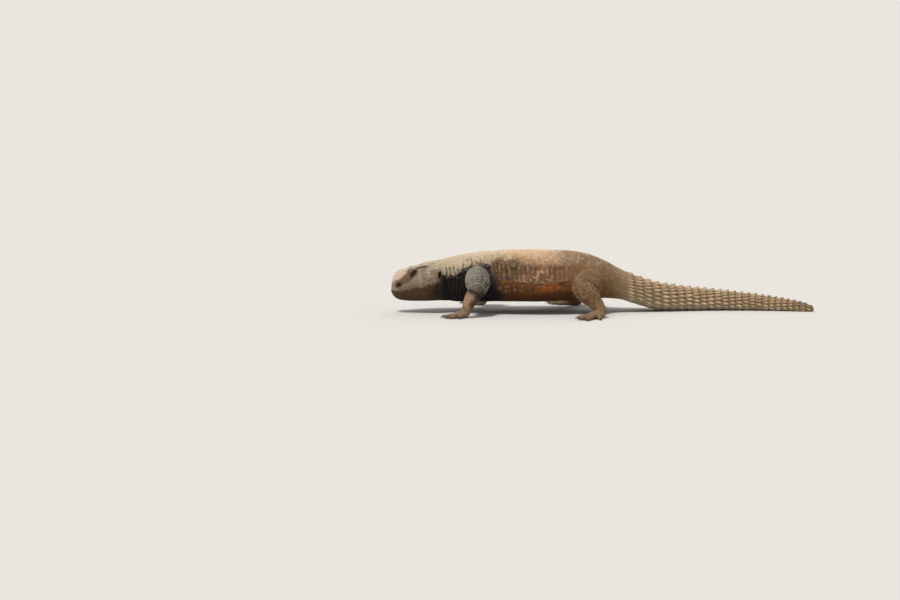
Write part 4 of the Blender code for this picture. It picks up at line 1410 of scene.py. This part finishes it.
def scale_centres(skin):
    """Where every scale stands, which way is outwards there, and which are pale dots."""
    plain = [ring_seeds(), lip_seeds(), body_seeds(), tail_rows(), *(digit_seeds(key) for key in LIMBS)]
    plain = np.concatenate(plain)
    rows, spotted = zip(*(limb_seeds(key) for key in LIMBS))
    dots = np.concatenate([np.zeros(len(plain), bool), *spotted])
    places, _, away = skin.nearest(np.concatenate([plain, *rows]))
    places, dots = places[away < SEED_REACH], dots[away < SEED_REACH]
    wanted = np.minimum(1 / scale_spacing(skin.points) ** 2, 1.6) * (skin_part(skin.points) < TAIL_PART)
    fill = skin.scatter(RANDOM_PLACES, 5, wanted)
    everywhere = np.concatenate([places, fill])
    dots = np.concatenate([dots, np.zeros(len(fill), bool)])
    in_rows = np.arange(len(everywhere)) < len(places)
    gaps = scale_spacing(everywhere) * np.where(in_rows, ROW_GAP, RANDOM_GAP)
    allowed = np.flatnonzero(~bare(everywhere))
    kept = allowed[apart(everywhere[allowed], gaps[allowed])]
    centres = everywhere[kept]
    samples = skin.scatter(len(centres) * SAMPLES_PER_SCALE, 6, wanted)
    samples = samples[~bare(samples)]
    for _ in range(2):
        centres = centred(centres, samples)
    places, normals, _ = skin.nearest(centres)
    return places, normals, dots[kept]


# The coat's pieces by number, each paired with a slot name
COAT_PIECES = (
    ("scales_head", "head_skin"), ("scales_neck", "dark_skin"), ("scales_body_front", "back_skin"),
    ("scales_body_middle", "back_skin"), ("scales_body_rear", "back_skin"),
    ("scales_arm_left", "dark_skin"), ("scales_arm_right", "dark_skin"),
    ("scales_leg_left", "limb_skin"), ("scales_leg_right", "limb_skin"), ("scales_tail", "tail_skin"),
)
BODY_CUTS = (54.0, 92.0, 132.0, 178.0, 262.0)
FIRST_LIMB_PART = 5
TAIL_PART = 9


def skin_part(points):
    """The number of the coat piece that each point belongs to."""
    part = np.searchsorted(BODY_CUTS, body_place(points)[0])
    part = np.where(part == len(BODY_CUTS), TAIL_PART, part)
    on_limb = (limb_share(points) > 0.5) & (part < TAIL_PART)
    return np.where(on_limb, FIRST_LIMB_PART + limb_place(points)[0], part)


def unwrapped(points, part):
    """Each point's place on a flat unwrap of its coat piece's skin, from 0 to 1 both ways."""
    s, sideways, height = body_place(points)
    if FIRST_LIMB_PART <= part < TAIL_PART:
        along = limb_place(points)[1]
        start, middle, end = limb_joints(tuple(LIMBS)[part - FIRST_LIMB_PART])
        upper = start + (middle - start) * along[:, None]
        lower = middle + (end - middle) * (along - 1)[:, None]
        across = points - np.where((along < 1)[:, None], upper, lower)
        turn = np.arctan2(across[:, 2], across[:, 0])
        u = along / 3
    else:
        cuts = (0.0, *BODY_CUTS, TOTAL_LENGTH)
        low, high = cuts[min(part, 5)], cuts[min(part, 5) + 1]
        turn = np.arctan2(sideways, height - outline(s)[2])
        u = (s - low) / (high - low)
    return np.stack([0.02 + 0.96 * np.clip(u, 0, 1), 0.5 + 0.48 * turn / math.pi], -1)


def back_direction(points):
    """The way that scales point: along the body to the tail, and down the limbs."""
    _, _, heading = axis_at(body_place(points)[0])
    body = np.stack([np.cos(heading), np.sin(heading), 0 * heading], -1)
    number, along, _, _ = limb_place(points)
    segments = []
    for key, limb in LIMBS.items():
        start, middle, end = limb_joints(key)
        toes = np.array([*limb["points"], -0.15])
        segments.append([unit(middle - start), unit(end - middle), unit(toes)])
    limb_way = np.array(segments)[number, np.clip(along, 0, 2.99).astype(int)]
    return np.where((limb_share(points) > 0.5)[:, None], limb_way, body)


def neighbours(centres):
    """The numbers of the eight scales nearest to each scale."""
    tree = search_tree(centres)
    return np.array([[hit[1] for hit in tree.find_n(centre, 9)][1:] for centre in centres.tolist()])


def cell_outlines(offset, size, near_size, along, across, sides):
    """How far each scale reaches in each direction before it meets its neighbours, at the given offsets."""
    x = np.einsum("nkc,nc->nk", offset, along)
    y = np.einsum("nkc,nc->nk", offset, across)
    weight = 2 * size[:, None] / (size[:, None] + near_size)
    turn = turns(sides)
    toward = x[:, :, None] * np.cos(turn) + y[:, :, None] * np.sin(turn)
    distance = (x**2 + y**2)[:, :, None]
    meets = weight[:, :, None] * distance / (2 * np.maximum(toward, 0.05))
    reach = np.where(toward > 0.05, meets, FAR).min(1)
    typical = np.median(np.sqrt(distance[:, :6, 0]), axis=1)[:, None]
    return np.minimum(reach, typical * 0.8), turn


# A scale's levels: share of its outline, share of its rise, how far it leans, and its painted light and
# shade
# The root is darkened as painted shade between the scales; the cap is paler, partly for worn tips and partly
# as painted light
SCALE_LEVELS = ((0.98, None, 0.0, 0.4), (0.8, 0.7, 0.35, 0.97), (0.0, 1.0, 1.0, 1.12))
SCALE_ROOT = 0.2
SCALE_SIDES = 6
HEAD_SCALE_SIDES = 9
LOWEST = 0.02
FIRST_WHORL = 258.0
LAST_WHORL = 458.0
WHORL_PITCH = (9.8, 6.6)
SCUTE_WIDTH = (4.5, 3.0)
SPINE_HEIGHT = (2.9, 1.7)
LOWEST_SPINE = -14.0
# A spiny scale's cross-sections: share of its length, ridge and lower edge in shares of its height, width
SCUTE_SECTIONS = (
    (0.0, -0.12, -0.2, 0.86), (0.07, 0.12, -0.2, 0.95), (0.28, 0.36, -0.2, 0.97), (0.5, 0.6, -0.16, 0.93),
    (0.72, 0.84, 0.0, 0.74), (0.88, 0.97, 0.5, 0.4), (1.0, 1.02, 0.9, 0.06),
)
# Points of a cross-section: place across, and share of the way from the lower edge to the ridge
SCUTE_ROUND = (
    (0.0, 0.0), (-0.86, 0.0), (-1.0, 0.22), (-0.55, 0.68),
    (0.0, 1.0), (0.55, 0.68), (1.0, 0.22), (0.86, 0.0),
)
PATCH = 0.0015


def scale_faces(sides):
    """Triangles of one low scale: a flat floor, two bands' sides and the cap."""
    k = np.arange(sides)
    nxt = (k + 1) % sides
    floor = np.stack([0 * k[1:-1], nxt[1:-1], k[1:-1]], -1)
    lower = np.stack([k, nxt, nxt + sides], -1)
    upper = np.stack([k, nxt + sides, k + sides], -1)
    cap = np.stack([k + sides, nxt + sides, 0 * k + 2 * sides], -1)
    return np.concatenate([floor, lower, upper, cap])


def repeated_object(name, points, pattern, places, colours):
    """One object of many closed pieces that share one pattern of faces."""
    count, each = points.shape[:2]
    points[..., 2] = np.maximum(points[..., 2], LOWEST)
    faces = (pattern[None] + (np.arange(count) * each)[:, None, None]).reshape(-1, 3)
    obj = triangle_object(name, points.reshape(-1, 3), faces)
    layer = obj.data.uv_layers.new(name="OFBake")
    layer.data.foreach_set("uv", places.reshape(-1, 2)[faces.ravel()].astype(np.float32).ravel())
    paint(obj.data, colours.reshape(-1, 3))
    return obj


def add_scales(name, part, chosen, scales, sides):
    """One mesh of closed low scales, each with its own colours and its own patch of the unwrap."""
    centres, normals, size, rise, lean, colours, near = (values[chosen] for values in scales)
    along = back_direction(centres)
    along = unit(along - normals * dot(along, normals)[:, None])
    across = np.cross(normals, along)
    offset = scales[0][near] - centres[:, None]
    reach, turn = cell_outlines(offset, size, scales[2][near], along, across, sides)
    points, shades, local = [], [], []
    for share, height, shift, shade in SCALE_LEVELS:
        up = np.full(len(centres), -SCALE_ROOT) if height is None else rise * height
        ring = 1 if share == 0 else sides
        radius = (reach * share)[:, :ring]
        ahead = radius * np.cos(turn[:ring]) + (shift * lean * reach.mean(1))[:, None]
        beside = radius * np.sin(turn[:ring])
        flat = centres[:, None] + ahead[..., None] * along[:, None] + beside[..., None] * across[:, None]
        points.append(flat + up[:, None, None] * normals[:, None])
        local.append(np.stack([ahead, beside], -1) / (reach.max(1) * 1.3)[:, None, None])
        shades.append(np.full((len(centres), ring), shade))
    points, local, shades = (np.concatenate(levels, 1) for levels in (points, local, shades))
    places = unwrapped(centres, part)[:, None] + local * PATCH
    # Each level's colour carries painted shade at the root and painted light on the cap
    obj = repeated_object(name, points, scale_faces(sides), places, colours[:, None] * shades[..., None])
    round_shading(obj.data)
    return obj


def scale_forms(points, dots):
    """Size, rise and lean of each scale, and the share of pale tubercle in its colour."""
    s, sideways, height = body_place(points)
    number, along, _, _ = limb_place(points)
    share = limb_share(points) > 0.5
    luck = chance(points, 7, 3)
    spacing = scale_spacing(points)
    low = outline(s)[3]
    belly = fall(height, low + 3, low + 9) * ~share
    head = s < 52
    temple = head & (s > 33) & (height < 50) & (height > 20)
    hanging = np.abs(height - back_edge(points, s) - 1.5) < 4.0
    nape = hanging & (np.abs(sideways) > 15) & (s > 46) & (s < 112) & ~share & (luck < 0.42)
    tubercle = (s > 121) & (s < 262) & (height > 24) & ~share & (luck > 0.93)
    leg = share & (number >= 2) & (along < 1.9) & (luck > 0.88)
    dot = dots & share & (number < 2) & (along > 0.12)
    size = np.select([dot, nape | leg, tubercle], [1.5, 1.25, 1.3], 1.0)
    rise = np.where(head, 0.2 * spacing, 0.3 * spacing * (1 - 0.6 * belly))
    rise = np.select([dot, nape, leg, tubercle, temple], [0.65, 0.95, 1.2, 0.62, 0.34 * spacing], rise)
    lean = np.select([nape | leg, head, share], [0.75, 0.0, 0.3], 0.28)
    dotted = (0.55 + 0.45 * chance(points, 5, 24)) * (1 - 0.55 * ramp(height, 40, 50))
    pale = np.select([dot, leg, tubercle, nape], [dotted, 0.2, 0.14, 0.4], 0.0)
    return size, rise, lean, pale


def dress(skin):
    """Builds the tail's rings and the scales of every coat piece, with the slot of each."""
    centres, normals, dots = scale_centres(skin)
    part = skin_part(centres)
    size, rise, lean, pale = scale_forms(centres, dots)
    tints = ((PALE_DOT, np.where(dots, pale, 0)), (PALE_TUBERCLE, np.where(dots, 0, pale)))
    colours = painted(markings(centres), *tints) * (0.86 + 0.28 * chance(centres, 5, 9))[:, None]
    scales = (centres, normals, size, rise, lean, colours, neighbours(centres))
    made = [(build_scutes(), "tail_skin")]
    for number, (name, slot) in enumerate(COAT_PIECES):
        sides = HEAD_SCALE_SIDES if number == 0 else SCALE_SIDES
        made.append((add_scales(name, number, part == number, scales, sides), slot))
    return made


def along_tail(s, ends):
    return np.interp(s, (FIRST_WHORL, LAST_WHORL), ends)


def whorls():
    """Where each ring of spiny scales starts, behind the snout."""
    found = [FIRST_WHORL]
    while found[-1] < LAST_WHORL:
        found.append(found[-1] + along_tail(found[-1], WHORL_PITCH))
    return found


def tail_rows():
    """Seeds of the small scales in the gaps between the rings."""
    rows = []
    for index, s in enumerate(whorls()):
        pitch = along_tail(s, WHORL_PITCH)
        for step in range(4):
            behind = s + pitch * (1 - 0.02 - 0.15 * step)
            rows.append(side_rows(behind, ((-90, 1.6), (90, 1.5)), (index + step) % 2))
    for s in np.arange(LAST_WHORL + 7, TOTAL_LENGTH - 1, 1.2):
        rows.append(side_rows(s, ((-90, 1.3), (90, 1.3)), int(s) % 2))
    return np.concatenate(rows)


def scute_angles(s, shift, grown):
    """The angles of one ring's scales, evenly spread down one side, and half of a scale's width."""
    degrees, steps = half_section(s, -COAT)
    girth = summed(steps)
    number = max(round(girth[-1] / (along_tail(s, SCUTE_WIDTH) * (0.7 + 0.3 * grown))), 4)
    first, pieces = (0.0, number - 0.5) if shift else (0.5, number)
    found = np.interp((np.arange(number) + first) * girth[-1] / pieces, girth, degrees)
    return found, girth[-1] / number / 2


def scute_ring(s, shift):
    """Root, directions, height, length and half width of each spiny scale of one ring."""
    grown = ramp(s, FIRST_WHORL - 12, FIRST_WHORL + 30)
    found, half = scute_angles(s, shift, grown)
    length = along_tail(s, WHORL_PITCH) * 0.86
    rings = []
    for side in SIDES:
        angles = found[1:] if shift and side > 0 else found
        every = np.ones(len(angles))
        at = section(every * s, angles, side, -COAT)
        along = unit(section(every * (s + length), angles, side, -COAT) - at)
        beside = section(every * s, angles + np.where(angles < 84, 5, -5), side, -COAT)
        out = unit(np.cross(beside - at, along))
        centre = place(s, 0, outline(np.array([s]))[2][0])
        out *= np.where(dot(out, at - centre) > 0, 1, -1)[:, None]
        lateral = np.clip(np.abs(90 - angles) / (90 - LOWEST_SPINE), 0, 1)
        height = along_tail(s, SPINE_HEIGHT) * (1 + 0.35 * lateral) * (0.45 + 0.55 * grown)
        height = height * (1 - 0.8 * ramp(-angles, -LOWEST_SPINE + 2, -LOWEST_SPINE + 26))
        rings.append((at, along, out, height, every * length, every * half))
    return [np.concatenate(parts) for parts in zip(*rings)]


def scute_faces():
    """Triangles of one spiny scale: bands between its cross-sections and a cap on each end."""
    levels, around = len(SCUTE_SECTIONS), len(SCUTE_ROUND)
    pattern = []
    for level in range(levels - 1):
        for k in (0, 7, 1, 6, 2, 3, 4, 5):
            a, b = level * around + k, level * around + (k + 1) % around
            pattern += [(a, b, b + around), (a, b + around, a + around)]
    last = (levels - 1) * around
    for k in range(1, around - 1):
        pattern += [(0, k + 1, k), (last, last + k, last + k + 1)]
    return np.array(pattern)


def build_scutes():
    """The tail's rings of keeled scales, each ending behind in a spine."""
    rings = [scute_ring(s, index % 2) for index, s in enumerate(whorls())]
    at, along, out, height, length, half = (np.concatenate(parts) for parts in zip(*rings))
    across = np.cross(along, out)
    vary = 1 + 0.12 * noise(at, 3.0, 45)
    points, shades, local = [], [], []
    for share, ridge, edge, wide in SCUTE_SECTIONS:
        for sideways, rise in SCUTE_ROUND:
            up = (edge + (ridge - edge) * rise) * height * vary
            beside = across * (sideways * wide * half * 0.98)[:, None]
            points.append(at + along * (share * length)[:, None] + beside + out * up[:, None])
            lit = 0.3 + 0.55 * rise + 0.5 * ramp(share, 0.0, 0.5) - 0.42 * ramp(share, 0.68, 1.0)
            shades.append(lit * (1 + 0.2 * noise(points[-1], (1.2, 0.6, 0.6), 46)))
            local.append(np.stack([share * length * 0.8, sideways * wide * half * 0.9], -1))
    points, shades, local = (np.stack(parts, 1) for parts in (points, shades, local))
    girth = np.maximum(outline(body_place(at)[0])[0], 2) * math.pi
    local = local / np.array([TOTAL_LENGTH - BODY_CUTS[-1], 1.0])
    local[..., 1] /= (2 * girth)[:, None] / 0.96
    dirt = 1 - 0.3 * ramp(noise(at, (16, 9, 9), 47), 0.0, 0.8)
    colours = markings(at + out * 0.5) * (dirt * (0.8 + 0.4 * chance(at, 5, 8)))[:, None]
    colours = painted(colours, (TAIL_PALE, ramp(height, 1.5, 3.5) * 0.35))[:, None] * shades[..., None]
    places = unwrapped(at, TAIL_PART)[:, None] + local
    return repeated_object("spines_tail", points, scute_faces(), places, colours)


def build_eye(side):
    """An eyeball with a slight bulge in front, its pupil and iris in rings."""
    axes, centre = eye_axes(side), eye_centre(side)
    turn = np.radians(np.arange(48) * 7.5)
    polar = np.radians(np.concatenate([np.linspace(3, 60, 30), np.linspace(66, 174, 18)]))
    bulge = 1 + 0.05 * bell(np.degrees(polar), 0, 26)
    out = np.cos(polar)[:, None] * bulge[:, None] + 0 * turn
    across = (np.sin(polar) * bulge)[:, None]
    rings = (np.stack([out, across * np.cos(turn), across * np.sin(turn)], -1) * EYE_RADIUS) @ axes + centre
    front = centre + axes[0] * EYE_RADIUS * 1.05
    points, faces = joined([(rings, front, centre - axes[0] * EYE_RADIUS)])
    obj = new_object("eyeball_left" if side < 0 else "eyeball_right", points, faces)
    angle = np.degrees(np.arccos(np.clip(unit(points - centre) @ axes[0], -1, 1)))
    streak = clouds(points, 0.5, 7)
    colour = painted(
        EYE_BROWN,
        (IRIS, bell(angle, 23, 6) * (0.7 + 0.4 * streak)),
        (PUPIL, fall(angle, 14, 17)),
        (EYE_EDGE, ramp(angle, 34, 40)),
    )
    paint(obj.data, np.clip(colour, 0, 1))
    round_shading(obj.data)
    return obj


def build_claws(key):
    """The five claws of a hand or foot: curved, flattened at the sides and pale at the root."""
    share, height, thick = np.array(CLAW_SECTIONS).T
    shapes = []
    for root, ray, length, _ in hand_frame(key)[3]:
        tip = root + ray * (length - 0.6)
        centres = tip + ray * (share * CLAW_LENGTH)[:, None] + UP * height[:, None]
        axes = np.array([ray, np.cross(UP, ray) * 0.72, UP])
        rings = tube(centres, CLAW_RADIUS * 0.92 * thick, axes, around=CLAW_SIDES)
        shapes.append((rings, centres[0], tip + ray * CLAW_LENGTH + UP * 0.45))
    points, faces = joined(shapes)
    along = np.tile(np.concatenate([np.repeat(share, CLAW_SIDES), [share[0], 1.0]]), len(shapes))
    obj = new_object("claws_" + key, points, faces)
    colour = painted(CLAW_ROOT, (CLAW_TIP, ramp(along, -0.1, 0.55)))
    paint(obj.data, colour * (1 + 0.2 * noise(upright(points, 3), 1.2, 17))[:, None])
    round_shading(obj.data)
    return obj


FLOOR_REACH = 60
FLOOR_COLOUR = (0.61, 0.6, 0.585, 1)
SKY = {"Color": (1.0, 0.99, 0.975, 1), "Strength": 0.42}
SUN_COLOUR = (1.0, 0.965, 0.915)


def add_sun(name, toward, strength, width):
    """A soft even light from one direction, slightly warm, with its width in degrees."""
    light = bpy.data.lights.new(name, "SUN")
    light.color = SUN_COLOUR
    light.energy = strength
    light.angle = math.radians(width)
    linked(name, light).rotation_euler = Vector(toward).to_track_quat("Z", "Y").to_euler()


def build_studio():
    """A pale floor and soft light from above."""
    corners = [(x * FLOOR_REACH, y * FLOOR_REACH, 0) for x, y in ((-1, -1), (1, -1), (1, 1), (-1, 1))]
    floor = linked("floor", plain_mesh("floor", corners, [(0, 1, 2, 3)]))
    material, tree, shader = new_material("floor")
    set_inputs(tree, shader, {"Base Color": FLOOR_COLOUR, "Roughness": 0.9})
    floor.data.materials.append(material)
    world = bpy.data.worlds.new("studio")
    world.use_nodes = True
    set_inputs(world.node_tree, world.node_tree.nodes["Background"], SKY)
    bpy.context.scene.world = world
    bpy.context.scene.view_settings.view_transform = "Standard"
    add_sun("key", (-0.3, -0.38, 1.0), strength=2.9, width=16)
    add_sun("rim", (0.5, 0.9, 0.8), strength=0.5, width=40)


# The photograph's frame: its width on the animal, where its middle lies, and how far the camera looks down
LENS = 400.0
SENSOR = 22.3
FRAME_WIDTH = 0.99
FRAME_MIDDLE = (64.0, 12.8)
LOOKS_DOWN = math.radians(6)


def build_camera():
    """The photograph's long lens at the left side."""
    camera = bpy.data.cameras.new("camera")
    camera.lens = LENS
    camera.sensor_width = SENSOR
    camera.clip_end = 100.0
    obj = linked("camera", camera)
    snout = (place(0.0, 0.0, 0.0) - SHIFT) * MM
    target = np.array([snout[0] + FRAME_MIDDLE[0] * MM, -SHIFT[1] * MM, FRAME_MIDDLE[1] * MM])
    distance = FRAME_WIDTH * LENS / SENSOR
    obj.location = target + distance * np.array([0.0, -math.cos(LOOKS_DOWN), math.sin(LOOKS_DOWN)])
    obj.rotation_euler = (math.pi / 2 - LOOKS_DOWN, 0.0, 0.0)
    bpy.context.scene.camera = obj


def main():
    flesh = build_skin()
    points = mesh_points(flesh)
    coat = dress(Surface(flesh))
    # The skin under the scales gets its marking darkened as painted shade between them
    paint(flesh, markings(points) * SHADE_BETWEEN_SCALES)
    set_points(flesh, (points - SHIFT) * MM)
    flesh.name = "skin"
    obj = linked("skin", flesh)
    hide = skin_material("hide", roughness=0.66, bump=0.35, dust_and_top_light=0.12, grain=900.0)
    scales = skin_material("scales", roughness=0.56, bump=0.25, dust_and_top_light=0.16, grain=1600.0)
    flesh.materials.clear()
    flesh.materials.append(hide)
    names = [row["node"] for row in frame["record"]["subparts"] if not row["node"].startswith("eye")]
    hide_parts(*names)
    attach(obj, "root")
    for piece, slot in coat:
        piece.data.materials.append(scales)
        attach(piece, "root")
    wet = plain_gloss("wet_eye", roughness=0.06, specular=0.3)
    horn = plain_gloss("horn", roughness=0.36, specular=0.5)
    for side, name in ((-1, "eye_left"), (1, "eye_right")):
        eye = build_eye(side)
        eye.data.materials.append(wet)
        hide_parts(name)
        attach(eye, "root")
    for key in LIMBS:
        claws = build_claws(key)
        claws.data.materials.append(horn)
        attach(claws, "root")
    build_studio()
    build_camera()


main()
